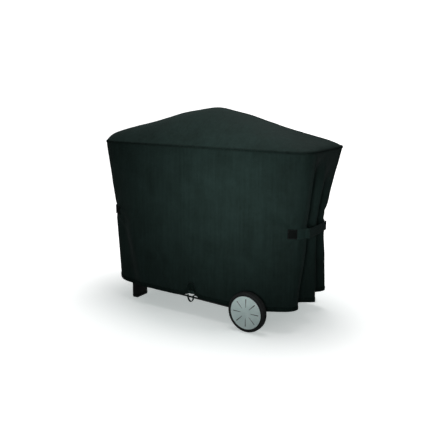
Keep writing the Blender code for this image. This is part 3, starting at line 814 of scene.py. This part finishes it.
def shoulder_binding():
    """A doubled tape over the join of top and sides, turned under along its lower edge."""
    ring = ring_of(0, 0, 150)
    profile = [(-0.0035, 0.0062), (-0.0008, 0.0052), (0.0012, 0.0018), (0.0017, -0.0028), (0.0016, -0.0066),
               (0.0006, -0.0074)]
    select_only()
    bpy.ops.mesh.primitive_grid_add(x_subdivisions=len(ring), y_subdivisions=len(profile) - 1, size=1)
    made = bpy.context.object
    length = sum(CUT_WIDTH.values())
    for corner in made.data.uv_layers[0].data:
        corner.uv = (corner.uv[0] * length, corner.uv[1] * 0.014)
    for vertex in made.data.vertices:
        point, away = ring[round((vertex.co.x + 0.5) * len(ring)) % len(ring)]
        out, rise = profile[len(profile) - 1 - round((vertex.co.y + 0.5) * (len(profile) - 1))]
        vertex.co = point + away * out + Vector((0, 0, rise))
    close_up(made, 0.00005)
    thicken(made, 0.0009)
    # The binding's darker finish is painted shade for the dark line along the shoulder seam.
    piece(made, "Shoulder_binding", HEM_FINISH_PAINTED_SHADE, "cover", ("shoulder_piping",), 50)


def bent_tube(name, path, radius, finish, body, replaced, sides):
    """A round bar, tube or cord along a path, its ends closed with flat caps."""
    data = bpy.data.curves.new(name, "CURVE")
    data.dimensions = "3D"
    data.bevel_depth = radius
    data.bevel_resolution = max(1, sides // 4 - 1)
    data.use_fill_caps = True
    spline = data.splines.new("POLY")
    spline.points.add(len(path) - 1)
    for spot, point in zip(spline.points, path):
        spot.co = (*point, 1)
    select_only(placed(name, data))
    bpy.ops.object.convert(target="MESH")
    made = bpy.context.object
    close_up(made, 0.00002)
    apply_all(made)
    return piece(made, name, finish, body, replaced, 50)


def corner_seams():
    """A slim welt up each corner ridge, following the cloth."""
    corners = {
        "front_right": (front_at, 1.0),
        "front_left": (front_at, 0.0),
        "back_left": (back_at, 1.0),
        "back_right": (back_at, 0.0),
    }
    for word, (at, u) in corners.items():
        path = [at(u, mix(HEM_Z + 0.002, SEAM_Z - 0.004, step / 120)) for step in range(121)]
        bent_tube(f"Welt_{word}", path, 0.0011, HEM_FINISH_PAINTED_SHADE, "cover", (f"{word}_seam",), 8)


# ---------------------------------------------------------------- stitching

THREAD_RADIUS = 0.00050
STITCH_SHARE = 0.62


def stitch_rows(name, rows, pitch=0.0060, body="cover"):
    """Sewing: one stitch is modelled, then copied along each row of (point, facing) pairs."""
    select_only()
    bpy.ops.mesh.primitive_cylinder_add(
        vertices=6, radius=THREAD_RADIUS, depth=pitch * STITCH_SHARE, rotation=(0, math.pi / 2, 0)
    )
    seed = settle_place(bpy.context.object)
    bpy.ops.object.mode_set(mode="EDIT")
    bpy.ops.mesh.select_all(action="SELECT")
    bpy.ops.mesh.bevel(offset=THREAD_RADIUS * 0.6, segments=1)
    bpy.ops.object.mode_set(mode="OBJECT")
    points = [vertex.co.copy() for vertex in seed.data.vertices]
    faces = [tuple(face.vertices) for face in seed.data.polygons]
    all_points, all_faces = [], []
    for row in rows:
        travelled = 0.0
        for (here, face), (ahead, _) in zip(row, row[1:]):
            run = ahead - here
            while travelled < run.length:
                along = run.normalized()
                across = face.cross(along).normalized()
                turn = Matrix((along, across, along.cross(across))).transposed()
                spot = here + along * travelled
                base = len(all_points)
                all_points += [spot + turn @ point for point in points]
                all_faces += [tuple(base + i for i in f) for f in faces]
                travelled += pitch
            travelled -= run.length
    mesh = bpy.data.meshes.new(name)
    mesh.from_pydata(all_points, [], all_faces)
    made = placed(name, mesh)
    bpy.data.objects.remove(seed, do_unlink=True)
    return piece(made, name, THREAD, body)


def hem_row(word, z, out):
    at = SIDES[word][0]
    row = []
    for step in range(241):
        p = at(step / 240, z)
        row.append((p + outward(p) * out, outward(p)))
    return row


def cover_stitching():
    for word in SIDES:
        rows = [hem_row(word, HEM_TOP - 0.0016, 0.0006), hem_row(word, HEM_TOP - 0.0075, 0.0018)]
        stitch_rows(f"{word}_hem_stitching", rows)
    rows = []
    for rise, out in ((-0.0048, 0.0020), (0.0028, 0.0016)):
        ring = ring_of(rise, out, 120)
        rows.append(ring + ring[:1])
    stitch_rows("Shoulder_stitching", rows)
    rows = []
    for at, u in ((front_at, 0.985), (front_at, 0.015), (back_at, 0.985), (back_at, 0.015)):
        row = []
        for step in range(91):
            z = mix(HEM_TOP, SEAM_Z - 0.012, step / 90)
            face = facing(at, u, z)
            row.append((at(u, z) + face * 0.0003, face))
        rows.append(row)
    stitch_rows("Corner_stitching", rows)


# ---------------------------------------------------------------- straps

def turn_weave(band):
    """Runs the webbing's rib across a band, by swapping the two ways of its flat cut."""
    for corner in band.data.uv_layers[0].data:
        corner.uv = (corner.uv[1], corner.uv[0])


def strap_band(name, path, half_width, thickness, finish, body, replaced, sag=0.0, bow=0.0):
    """A flat band standing on edge along a level path of (point, facing) pairs, with soft edges."""
    lengths = [0.0]
    for (a, _), (b, _) in zip(path, path[1:]):
        lengths.append(lengths[-1] + (b - a).length)
    total = lengths[-1]
    steps = len(path) - 1

    def place(u, v):
        index = round(u * steps)
        point, face = path[index]
        across = 2 * v - 1
        dip = sag * math.sin(math.pi * u)
        curl = -0.0005 * across ** 8 + bow * math.sin(math.pi * u) * across
        return point + face * curl + Vector((0, 0, across * half_width - dip))

    made = cloth_grid(steps, 10, (total, 2 * half_width), place)
    turn_weave(made)
    thicken(made, thickness, thickness * 0.3)
    return piece(made, name, finish, body, replaced, 50)


def around_corner(at, start, end, lift, count, z=STRAP_Z):
    """A level path round a side, lifted off the cloth; u runs from start to end."""
    path = []
    for step in range(count + 1):
        u = mix(start, end, step / count)
        p = at(u, z)
        p.z = z
        face = facing(at, u, z)
        face.z = 0
        path.append((p + face.normalized() * lift, face.normalized()))
    return path


def box_stitch(path, half_height, inset, lift):
    """A rectangle of stitching on a band, with a cross in it."""
    start, end = inset, len(path) - 1 - inset
    levels = (-half_height, half_height)
    rows = []
    for level in levels:
        rows.append([(p + f * lift + Vector((0, 0, level)), f) for p, f in path[start:end + 1]])
    for index in (start, end):
        p, f = path[index]
        rows.append([(p + f * lift + Vector((0, 0, mix(*levels, s / 6))), f) for s in range(7)])
    for flip in (1, -1):
        row = []
        for index in range(start, end + 1):
            share = (index - start) / (end - start)
            p, f = path[index]
            row.append((p + f * lift + Vector((0, 0, flip * mix(*levels, share))), f))
        rows.append(row)
    return rows


STRAP_FRONT = Vector((high("right_strap").x - 0.0009, low("right_strap").y))
STRAP_BACK = Vector((low("right_strap").x + 0.0009, high("right_strap").y))
STRAP_THICKNESS = 0.0018
TAPE_THICKNESS = 0.0014


STITCH_LIFT = 0.0002
STRAP_PITCH = 0.0045


def strap(word, hand, front_u, back_u):
    """One strap: patch and anchor on the cover, the band over the pleats, and its end with the hook tape."""
    half = STRAP_WIDTH / 2

    def ordered(path):
        return path[::-1] if hand < 0 else path

    patch = ordered(around_corner(front_at, *front_u, 0.0022, 24))
    strap_band(f"{word}_patch", patch, 0.0235, TAPE_THICKNESS, TAPE, "cover", (f"{word}_loop_patch",))
    hook = ordered(around_corner(front_at, mix(*front_u, 0.57), front_u[1], 0.0040, 10))
    strap_band(f"{word}_hook_tape", hook, 0.0215, TAPE_THICKNESS, TAPE,
               f"{word}_strap_end", (f"{word}_strap_hook",))

    tail = around_corner(front_at, mix(*front_u, 0.53), front_u[1], 0.0062, 16)
    last, face = tail[-1]
    end = Vector((hand * (STRAP_FRONT.x + 0.0007), STRAP_FRONT.y - 0.0012, STRAP_Z))
    end_face = Vector((hand, 0.1, 0)).normalized()
    tail += [(last.lerp(end, step / 4), face.lerp(end_face, step / 4)) for step in range(1, 5)]
    tail = ordered(tail)
    strap_band(f"{word}_tail", tail, half, STRAP_THICKNESS, WEBBING,
               f"{word}_strap_end", (f"{word}_strap_tail",))

    anchor = ordered(around_corner(back_at, *back_u[::-1], 0.0026, 14, STRAP_Z - STRAP_DROP))
    strap_band(f"{word}_anchor", anchor, half, STRAP_THICKNESS, WEBBING,
               "cover", (f"{word}_strap_anchor",))

    front_end = Vector((hand * STRAP_FRONT.x, STRAP_FRONT.y - 0.0005, STRAP_Z))
    back_end = Vector((hand * STRAP_BACK.x, STRAP_BACK.y, STRAP_Z - STRAP_DROP))
    run = back_end - front_end
    face = Vector((run.y, -run.x, 0)).normalized() * hand
    line = []
    for step in range(49):
        share = step / 48
        bend = 0.0035 * math.sin(math.pi * share) + 0.0008 * math.sin(5 * math.pi * share)
        line.append((front_end.lerp(back_end, share) + face * (bend + 0.0009), face))
    line = ordered(line)
    strap_band(f"{word}_webbing", line, half, STRAP_THICKNESS, WEBBING,
               f"{word}_strap", (f"{word}_strap",), sag=0.002, bow=0.0012)

    patch_rows = box_stitch(patch, 0.0205, 1, STITCH_LIFT)[:4]
    stitch_rows(f"{word}_patch_stitching", patch_rows, STRAP_PITCH)
    stitch_rows(f"{word}_anchor_stitching", box_stitch(anchor, 0.0205, 1, STITCH_LIFT), STRAP_PITCH)
    tail_rows = box_stitch(tail, 0.0195, 1, STITCH_LIFT)[:4]
    stitch_rows(f"{word}_tail_stitching", tail_rows, STRAP_PITCH, f"{word}_strap_end")
    edges = []
    for level in (-0.021, 0.021):
        edges.append([(point + away * STITCH_LIFT + Vector((0, 0, level)), away) for point, away in line])
    stitch_rows(f"{word}_webbing_stitching", edges, 0.0055, f"{word}_strap")


def straps():
    strap("right", 1, (0.881, 0.987), (0.012, 0.10))
    strap("left", -1, (0.119, 0.013), (0.988, 0.90))


def loop_patch():
    """A round-topped patch of doubled cloth sewn over the front hem, where the loop is fixed."""
    half_width, rise = 0.030, 0.066

    def edge_height(across):
        return rise * (1 - 0.55 * abs(across) ** 3.2)

    def place(u, v):
        across = 2 * u - 1
        x = LOOP.x + across * half_width
        z = HEM_Z + 0.001 + v * edge_height(across)
        p = front_near(x, z)
        return p + outward(p) * (0.0024 + 0.0006 * math.sin(math.pi * v) ** 0.5)

    size = (2 * half_width, rise)
    patch = cloth_grid(30, 34, size, place)
    thicken(patch, 0.0010)
    piece(patch, "Loop_patch", HEM_FINISH_PAINTED_SHADE, "cover")
    rows = []
    for inset in (0.0022, 0.0052):
        row = []
        for step in range(61):
            across = mix(-1, 1, step / 60) * (1 - inset / half_width)
            x = LOOP.x + across * half_width
            p = front_near(x, HEM_Z + 0.001 + edge_height(across) - inset)
            row.append((p + outward(p) * 0.0028, outward(p)))
        rows.append(row)
    stitch_rows("Loop_patch_stitching", rows, 0.0045)


def front_near(x, z):
    """The point of the front cloth over an x, at a height."""
    across = x / front_corner(z).x
    return hung(panel_point(across, z, front_corner, -1))


def hem_tie():
    """The loop below the hem: a tape folded in two, with the tab it is sewn to behind the hem."""
    half_x = (high("hem_loop").x - low("hem_loop").x) / 2 - 0.003
    top, bottom = high("hem_loop").z, low("hem_loop").z + 0.003
    steps, half_tape = 48, 0.0050
    length = math.pi * (half_x + top - bottom) / 2

    def place(u, v):
        angle = math.pi * (1 + u)
        narrow = 1 - 0.12 * abs(math.cos(angle)) ** 3
        fold = 0.0012 * math.sin(math.pi * u)
        return Vector((LOOP.x + half_x * narrow * math.cos(angle), LOOP.y + (2 * v - 1) * half_tape + fold,
                       top + (top - bottom) * math.sin(angle)))

    made = cloth_grid(steps, 6, (length, 2 * half_tape), place)
    turn_weave(made)
    wall = made.modifiers.new("tape", "SOLIDIFY")
    wall.thickness = 0.0042
    wall.offset = 0
    apply_all(made)
    piece(made, "Tie_loop", WEBBING, "hem_loop", ("hem_loop",), 50)
    tab = cuboid(middle("hem_loop_tab"), high("hem_loop_tab") - low("hem_loop_tab"))
    round_edges(tab, 0.0008, 3)
    apply_all(tab)
    piece(tab, "Tie_loop_tab", WEBBING, "cover", ("hem_loop_tab",))


# ---------------------------------------------------------------- wheels

def spun(profile, steps, centre, close=True):
    """A closed outline of (radius, along Y) points, spun once round the Y axis."""
    data = bpy.data.meshes.new("spun")
    count = len(profile)
    edges = [(i, (i + 1) % count) for i in range(count if close else count - 1)]
    data.from_pydata([(radius, along, 0) for radius, along in profile], edges, [])
    made = placed("spun", data)
    select_only(made)
    bpy.ops.object.mode_set(mode="EDIT")
    bpy.ops.mesh.select_all(action="SELECT")
    bpy.ops.mesh.spin(steps=steps, angle=2 * math.pi, center=(0, 0, 0), axis=(0, 1, 0))
    bpy.ops.mesh.select_all(action="SELECT")
    bpy.ops.mesh.remove_doubles(threshold=0.00002)
    bpy.ops.mesh.normals_make_consistent(inside=False)
    bpy.ops.object.mode_set(mode="OBJECT")
    made.location = centre
    return settle_place(made)


TYRE_DEPTH = 0.0161
TYRE_STEPS = 144


def tyre(centre, word):
    """A solid tyre: rounded shoulders, two sidewall ribs and a grooved tread."""
    half, outer = WHEEL_HALF_WIDTH, WHEEL_RADIUS
    inner = outer - TYRE_DEPTH
    outline = [(inner, -half + 0.003), (inner + 0.002, -half + 0.0012), (inner + 0.0050, -half + 0.0004),
               (inner + 0.0058, -half), (inner + 0.0072, -half + 0.0006), (inner + 0.0105, -half + 0.0012),
               (inner + 0.0132, -half + 0.0030), (outer - 0.0009, -half + 0.0058), (outer, -half + 0.0085),
               (outer, -0.0060), (outer - 0.0018, -0.0050), (outer - 0.0018, -0.0030), (outer, -0.0020)]
    outline = outline + [(radius, -along) for radius, along in reversed(outline)]
    made = spun(outline, TYRE_STEPS, centre)
    for vertex in made.data.vertices:
        offset = vertex.co - centre
        radius = math.hypot(offset.x, offset.z)
        turn = round(math.atan2(offset.z, offset.x) / (2 * math.pi) * TYRE_STEPS)
        on_tread = radius > WHEEL_RADIUS - 0.0004 and abs(offset.y) > 0.0055
        if on_tread and turn % 4 == (0 if offset.y > 0 else 2):
            scale = (radius - 0.0016) / radius
            vertex.co.x = centre.x + offset.x * scale
            vertex.co.z = centre.z + offset.z * scale
    piece(made, f"{word}_wheel_tyre", TYRE, f"{word}_wheel", (f"{word}_tyre",), 32)


RIM_RIBS = 10


def rim(centre, side, word):
    """The black wheel body: barrel, dished web, hub and ribs on its inner side."""
    cap_back = WHEEL_HALF_WIDTH - 0.0040
    outer = WHEEL_RADIUS - 0.0163
    outline = [(outer, -cap_back), (outer, cap_back), (outer - 0.0030, cap_back), (outer - 0.0044, 0.0055),
               (outer - 0.0085, 0.0036), (0.0225, 0.0040), (0.0160, 0.0075), (0.0150, cap_back),
               (0.0067, cap_back), (0.0067, -cap_back + 0.0015), (0.0140, -cap_back + 0.0015),
               (0.0152, -cap_back + 0.0030), (0.0168, -0.0020), (0.0225, 0.0002), (outer - 0.0085, 0.0000),
               (outer - 0.0042, -0.0020),
               (outer - 0.0028, -cap_back)]
    made = spun([(radius, -side * along) for radius, along in outline], 96, centre)
    ribs = []
    for index in range(RIM_RIBS):
        rib = cuboid(((outer + 0.0125) / 2, side * 0.0062, 0), (outer - 0.0200, 0.0110, 0.0030))
        round_edges(rib, 0.0007, 2)
        apply_all(rib)
        rib.rotation_euler = (0, 2 * math.pi * index / RIM_RIBS, 0)
        rib.location = centre
        ribs.append(settle_place(rib))
    select_only(made, *ribs)
    bpy.ops.object.join()
    piece(bpy.context.object, f"{word}_wheel_rim", PLASTIC, f"{word}_wheel", (f"{word}_rim",), 35)


SLOTS = 8
SPOKES = 192
SLOT_FROM, SLOT_TO = 0.0262, 0.0712
RIB_HEIGHT = 0.00055


def hub_cap(centre, side, word):
    """The grey disc: a low boss, fine radial ribs, eight long open slots and a raised edge."""
    radii = [0.0, 0.0060, 0.0120, 0.0180, 0.0225, SLOT_FROM, 0.0330, 0.0420, 0.0510, 0.0610, SLOT_TO,
             0.0755, 0.0778, 0.0800, 0.0826, 0.0842]
    heights = [0.0006, 0.0006, 0.0004, -0.0002, -0.0010, -0.0014, -0.0015, -0.0016, -0.0017, -0.0018, -0.0018,
               -0.0017, -0.0010, 0.0000, -0.0002, -0.0014]
    build = bmesh.new()
    rings = []
    for ring, (radius, height) in enumerate(zip(radii, heights)):
        if ring == 0:
            rings.append([build.verts.new((0, height, 0))] * SPOKES)
            continue
        row = []
        for spoke in range(SPOKES):
            angle = 2 * math.pi * (spoke + 0.5) / SPOKES
            ribbed = RIB_HEIGHT if (SLOT_FROM - 0.001 < radius < 0.0760 and spoke % 2 == 0) else 0.0
            row.append(build.verts.new((radius * math.cos(angle), height + ribbed, radius * math.sin(angle))))
        rings.append(row)
    per_slot = SPOKES // SLOTS
    for ring in range(len(radii) - 1):
        for spoke in range(SPOKES):
            ahead = (spoke + 1) % SPOKES
            in_slot = (spoke + 1) % per_slot in (0, 1)
            if SLOT_FROM <= radii[ring] < SLOT_TO and in_slot:
                continue
            corners = [rings[ring][spoke], rings[ring][ahead], rings[ring + 1][ahead], rings[ring + 1][spoke]]
            corners = [c for i, c in enumerate(corners) if c not in corners[:i]]
            build.faces.new(corners)
    made = from_build("cap", build)
    if side < 0:
        made.rotation_euler = (math.pi, 0, 0)
    settle_place(made)
    bpy.ops.object.mode_set(mode="EDIT")
    bpy.ops.mesh.select_all(action="SELECT")
    bpy.ops.mesh.normals_make_consistent(inside=False)
    bpy.ops.object.mode_set(mode="OBJECT")
    if made.data.polygons[0].normal.y * side < 0:
        made.data.flip_normals()
    made.location = centre + Vector((0, side * WHEEL_HALF_WIDTH, 0))
    settle_place(made)
    thicken(made, 0.0016)
    piece(made, f"{word}_wheel_cap", CAP, f"{word}_wheel", (f"{word}_hub_cap",), 28)


def wheels():
    for word, side in (("front", -1), ("back", 1)):
        centre = middle(f"{word}_tyre")
        tyre(centre, word)
        rim(centre, side, word)
        hub_cap(centre, side, word)


# ---------------------------------------------------------------- the cart

def moulded_box(name, node, finish, rounding, faces_in):
    """A block the size of its CAD node, its edges rounded and some of its faces sunk inside a rim."""
    made = cuboid(middle(node), high(node) - low(node))
    for direction, rim_width, depth in faces_in:
        for each in made.data.polygons:
            each.select = each.normal.dot(Vector(direction)) > 0.95 and each.area > 0.0002
        for each in list(made.data.edges) + list(made.data.vertices):
            each.select = False
        bpy.ops.object.mode_set(mode="EDIT")
        bpy.ops.mesh.select_mode(type="FACE")
        bpy.ops.mesh.inset(thickness=rim_width, depth=0)
        bpy.ops.mesh.inset(thickness=0.001, depth=-depth)
        bpy.ops.object.mode_set(mode="OBJECT")
    round_edges(made, rounding, 3)
    apply_all(made)
    piece(made, name, finish, "cart", (node,), 40)


def block(outline, levels):
    """An upright block: an outline of (x, y) points, drawn in about its middle by a share at each height."""
    mid = sum((Vector(point) for point in outline), Vector((0, 0))) / len(outline)
    build = bmesh.new()
    rings = []
    for z, share in levels:
        ring = [mid.lerp(Vector(point), share) for point in outline]
        rings.append([build.verts.new((point.x, point.y, z)) for point in ring])
    join_rings(build, rings)
    build.faces.new(rings[0])
    build.faces.new(rings[-1])
    bmesh.ops.recalc_face_normals(build, faces=build.faces)
    return from_build("block", build)


def foot(word, side):
    """A moulded foot, its outer front edge cut off at a slant, with a pad under it set off by a groove, all
    in the same black plastic.
    """
    node = f"{word}_foot"
    lowest, highest = low(node), high(node)
    front, back = (lowest.y, highest.y) if side < 0 else (highest.y, lowest.y)
    outline = [(highest.x, front), (highest.x, back), (lowest.x, back), (lowest.x, front - side * 0.030),
               (lowest.x + 0.014, front)]
    levels = [(0.0, 0.93), (0.004, 0.97), (0.013, 1.0), (0.0165, 1.0), (0.0172, 0.955), (0.0195, 0.955),
              (0.0202, 0.985), (highest.z, 0.94)]
    made = block(outline, levels)
    round_edges(made, 0.0022, 3, 40)
    apply_all(made)
    piece(made, f"{word}_cart_foot", PLASTIC, "cart", (node,), 40)


BEND_STEPS = 10


def rounded_path(corners, radius):
    """A path through corners, each turned with an arc."""
    corners = [Vector(c) for c in corners]
    path = [corners[0]]
    for before, corner, after in zip(corners, corners[1:], corners[2:]):
        inward, onward = (before - corner).normalized(), (after - corner).normalized()
        half_angle = inward.angle(onward) / 2
        reach = radius / math.tan(half_angle)
        centre = corner + (inward + onward).normalized() * radius / math.sin(half_angle)
        start = (corner + inward * reach - centre).normalized()
        end = (corner + onward * reach - centre).normalized()
        path += [centre + start.slerp(end, step / BEND_STEPS) * radius for step in range(BEND_STEPS + 1)]
    path.append(corners[-1])
    return path


def frame_tubes():
    for word in ("left", "right"):
        node = f"{word}_leg_frame"
        lowest, highest = low(node), high(node)
        radius = (highest.x - lowest.x) / 2
        x, top, y = (lowest.x + highest.x) / 2, highest.z - radius, highest.y - radius
        corners = [(x, -y, lowest.z), (x, -y, top), (x, y, top), (x, y, lowest.z)]
        bent_tube(f"{word}_legs", rounded_path(corners, 0.045), radius, PAINT, "cart", (node,), 28)
    for word in ("front", "back"):
        for kind, sides in (("upper", 28), ("lower", 20)):
            node = f"{word}_{kind}_rail"
            lowest, highest = low(node), high(node)
            y = (lowest.y + highest.y) / 2
            radius = (highest.y - lowest.y) / 2
            left_end = Vector((lowest.x, y, highest.z - radius))
            right_end = Vector((highest.x, y, lowest.z + radius))
            path = [left_end.lerp(right_end, step / 12) for step in range(13)]
            bent_tube(f"{word}_{kind}_bar", path, radius, PAINT, "cart", (node,), sides)


def cart_blocks():
    for word, side in (("front", -1), ("back", 1)):
        foot(word, side)
        moulded_box(f"{word}_axle_bracket", f"{word}_axle_block", PLASTIC, 0.003,
                    (((1, 0, 0), 0.008, 0.004), ((-1, 0, 0), 0.008, 0.004)))
    for word in ("left", "right"):
        moulded_box(f"{word}_table_bar", f"{word}_table_beam", PAINT, 0.003,
                    (((1, 0, 0), 0.010, 0.006), ((-1, 0, 0), 0.010, 0.006)))


# ---------------------------------------------------------------- the grill

LID_LEVELS = [(0.000, 1.0, 1.0), (0.018, 0.99, 0.98), (0.048, 0.94, 0.90), (0.088, 0.78, 0.72),
              (0.121, 0.56, 0.48), (0.137, 0.32, 0.26)]
TUB_LEVELS = [(0.000, 1.0, 1.0), (0.023, 0.99, 0.99), (0.050, 0.95, 0.94), (0.0746, 0.84, 0.80),
              (0.0886, 0.68, 0.62)]
CASTING_WALL, MOUTH_SWELL = 0.0035, 0.0025


def curved(levels, place):
    """A smooth curve through levels of (distance, width share, depth share), at a distance from the first."""
    for index in range(len(levels) - 2, -1, -1):
        if place >= levels[index][0] or index == 0:
            break
    before, after = levels[max(index - 1, 0)], levels[min(index + 2, len(levels) - 1)]
    start, end = levels[index], levels[index + 1]
    gap = end[0] - start[0]
    share = (place - start[0]) / gap
    shape = []
    for part in (1, 2):
        leave = (end[part] - before[part]) / (end[0] - before[0]) * gap
        arrive = (after[part] - start[part]) / (after[0] - start[0]) * gap
        shape.append((2 * share ** 3 - 3 * share ** 2 + 1) * start[part]
                     + (share ** 3 - 2 * share ** 2 + share) * leave
                     + (3 * share ** 2 - 2 * share ** 3) * end[part]
                     + (share ** 3 - share ** 2) * arrive)
    return shape


def shell(name, node, up, levels):
    """A cast lid or tub: rounded rectangles that draw in away from its mouth, closed at the far end."""
    lowest, highest = low(node), high(node)
    half = (highest - lowest) / 2
    mid = middle(node)
    mouth, way = (lowest.z, 1) if up else (highest.z, -1)
    reach = levels[-1][0]
    steps, corner_steps = 26, 12
    corner = 0.55 * half.y
    build = bmesh.new()
    rings = []
    for step in range(steps + 1):
        place = reach * math.sin(step / steps * math.pi / 2)
        wide, deep = curved(levels, place)
        swell = MOUTH_SWELL if place < 0.006 else 0.0
        ring = []
        for cx, cy, start in ((1, -1, -90), (1, 1, 0), (-1, 1, 90), (-1, -1, 180)):
            round_x = min(corner, half.x * wide * 0.98)
            round_y = min(corner, half.y * deep * 0.98)
            round_off = min(round_x, round_y)
            for turn in range(corner_steps + 1):
                angle = math.radians(start + 90 * turn / corner_steps)
                x = cx * (half.x * wide + swell - round_off) + round_off * math.cos(angle)
                y = cy * (half.y * deep + swell - round_off) + round_off * math.sin(angle)
                ring.append(build.verts.new((mid.x + x, mid.y + y, mouth + way * place)))
        rings.append(ring)
    for shrink in (0.66, 0.33):
        far = rings[steps]
        ring = []
        for vertex in far:
            out = vertex.co - Vector((mid.x, mid.y, vertex.co.z))
            place = Vector((mid.x, mid.y, vertex.co.z)) + out * shrink
            ring.append(build.verts.new(place + Vector((0, 0, way * 0.0006 * (1 - shrink)))))
        rings.append(ring)
    join_rings(build, rings)
    build.faces.new(rings[-1])
    bmesh.ops.recalc_face_normals(build, faces=build.faces)
    made = from_build(name, build)
    close_up(made, 0.00002)
    thicken(made, CASTING_WALL)
    piece(made, name, CASTING, "cart", (node,), 45)


DIAL_STEPS = 72


def knob():
    """A dial with a fluted grip, and a pale pointer on its face."""
    node = "burner_knob"
    lowest, highest = low(node), high(node)
    mid = (lowest + highest) / 2
    radius = (highest.x - lowest.x) / 2
    depth = highest.y - lowest.y
    back, front = depth / 2, -depth / 2
    outline = [(0.0, back), (radius, back), (radius, back - 0.002), (radius * 0.86, back - 0.004),
               (radius * 0.80, front + 0.0015), (radius * 0.70, front), (0.0, front)]
    dial = spun(outline, DIAL_STEPS, mid, close=False)
    for vertex in dial.data.vertices:
        offset = vertex.co - mid
        away = math.hypot(offset.x, offset.z)
        if away > radius * 0.75 and offset.y < back - 0.003:
            turn = round(math.atan2(offset.z, offset.x) / (2 * math.pi) * DIAL_STEPS)
            if turn % 6 < 2:
                vertex.co.x = mid.x + offset.x * 0.95
                vertex.co.z = mid.z + offset.z * 0.95
    piece(dial, "Burner_dial", PLASTIC, "burner_knob", (node,), 35)
    pointer_at = (mid.x, lowest.y - 0.0002, mid.z + radius * 0.42)
    mark = cuboid(pointer_at, (0.0018, 0.0010, radius * 0.5))
    round_edges(mark, 0.0003, 2)
    apply_all(mark)
    piece(mark, "Dial_pointer", CAP, "burner_knob")


TABLE_BARS = 7


def side_table(word):
    """A moulded table: rounded corners, a rim round a sunk top, and raised bars across it."""
    node = f"{word}_side_table"
    lowest, highest = low(node), high(node)
    made = cuboid(middle(node), highest - lowest)
    build = bmesh.new()
    build.from_mesh(made.data)
    upright = [e for e in build.edges if abs((e.verts[0].co - e.verts[1].co).normalized().z) > 0.9]
    bmesh.ops.bevel(build, geom=upright, offset=0.045, segments=12, affect="EDGES", profile=0.5)
    top = [f for f in build.faces if f.normal.z > 0.9]
    bmesh.ops.inset_region(build, faces=top, thickness=0.009, depth=0.0)
    top = [f for f in build.faces if f.normal.z > 0.9 and f.calc_area() > 0.02]
    bmesh.ops.inset_region(build, faces=top, thickness=0.0015, depth=-0.0022)
    build.to_mesh(made.data)
    build.free()
    round_edges(made, 0.0016, 3)
    apply_all(made)
    piece(made, f"{word}_table_top", TABLE, "cart", (node,), 40)
    bars = []
    for index in range(TABLE_BARS):
        x = mix(lowest.x + 0.035, highest.x - 0.035, index / (TABLE_BARS - 1))
        bar = cuboid((x, 0, highest.z - 0.0016), (0.010, 0.215, 0.0022))
        round_edges(bar, 0.0009, 2)
        bars.append(apply_all(bar))
    select_only(*bars)
    bpy.ops.object.join()
    piece(bpy.context.object, f"{word}_table_ribs", TABLE, "cart")


def grill():
    shell("Cooking_lid", "lid", True, LID_LEVELS)
    shell("Fire_tub", "firebox", False, TUB_LEVELS)
    lowest, highest = low("lid_handle"), high("lid_handle")
    radius = 0.0070
    y, z = lowest.y + radius, (lowest.z + highest.z) / 2 - 0.001
    half_x = highest.x - radius
    root_y = -0.1650
    corners = [(-half_x, root_y, z + 0.008), (-half_x, y, z), (half_x, y, z), (half_x, root_y, z + 0.008)]
    bent_tube("Lid_grip", rounded_path(corners, 0.012), radius, PLASTIC, "cart", ("lid_handle",), 24)
    moulded_box("Control_bar", "control_panel", PLASTIC, 0.002, (((0, -1, 0), 0.006, 0.0015),))
    knob()
    for word in ("left", "right"):
        side_table(word)
    moulded_box("Drip_pan", "catch_pan", ZINC, 0.004, (((0, 0, 1), 0.004, 0.018),))


def plain_nodes():
    """The CAD nodes whose shape is right take their full finish."""
    kept = {
        "axle": ZINC,
        "front_axle_spacer": PLASTIC,
        "back_axle_spacer": PLASTIC,
        "cooking_grate": IRON,
        "burner_tube": ZINC,
    }
    for name, finish in kept.items():
        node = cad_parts[name]
        node.data.materials.clear()
        node.data.materials.append(finish)


# ---------------------------------------------------------------- floor

def floor():
    """A pale floor that sweeps up into the backdrop in one sheet."""
    select_only()
    bpy.ops.mesh.primitive_grid_add(x_subdivisions=2, y_subdivisions=60, size=1)
    made = bpy.context.object
    turn = 2.4
    flat = 4.0
    front_edge = 3.0
    arc = turn * math.pi / 2
    total = flat + arc + 3.0
    for vertex in made.data.vertices:
        along = (vertex.co.y + 0.5) * total
        wide = vertex.co.x * 16
        if along < flat:
            y, z = along - front_edge, 0.0
        elif along < flat + arc:
            angle = (along - flat) / turn
            y, z = flat - front_edge + turn * math.sin(angle), turn * (1 - math.cos(angle))
        else:
            y, z = flat - front_edge + turn, turn + along - flat - arc
        vertex.co = (wide, y, z - 0.0002)
    made.name = "floor"
    made.data.materials.append(floor_white())
    select_only(made)
    bpy.ops.object.shade_smooth()
    made.visible_diffuse = False
    made.visible_glossy = False


camera()
studio()
floor()
top_cloth()
side_cloths()
shoulder_binding()
corner_seams()
cover_stitching()
straps()
loop_patch()
hem_tie()
wheels()
frame_tubes()
cart_blocks()
grill()
plain_nodes()
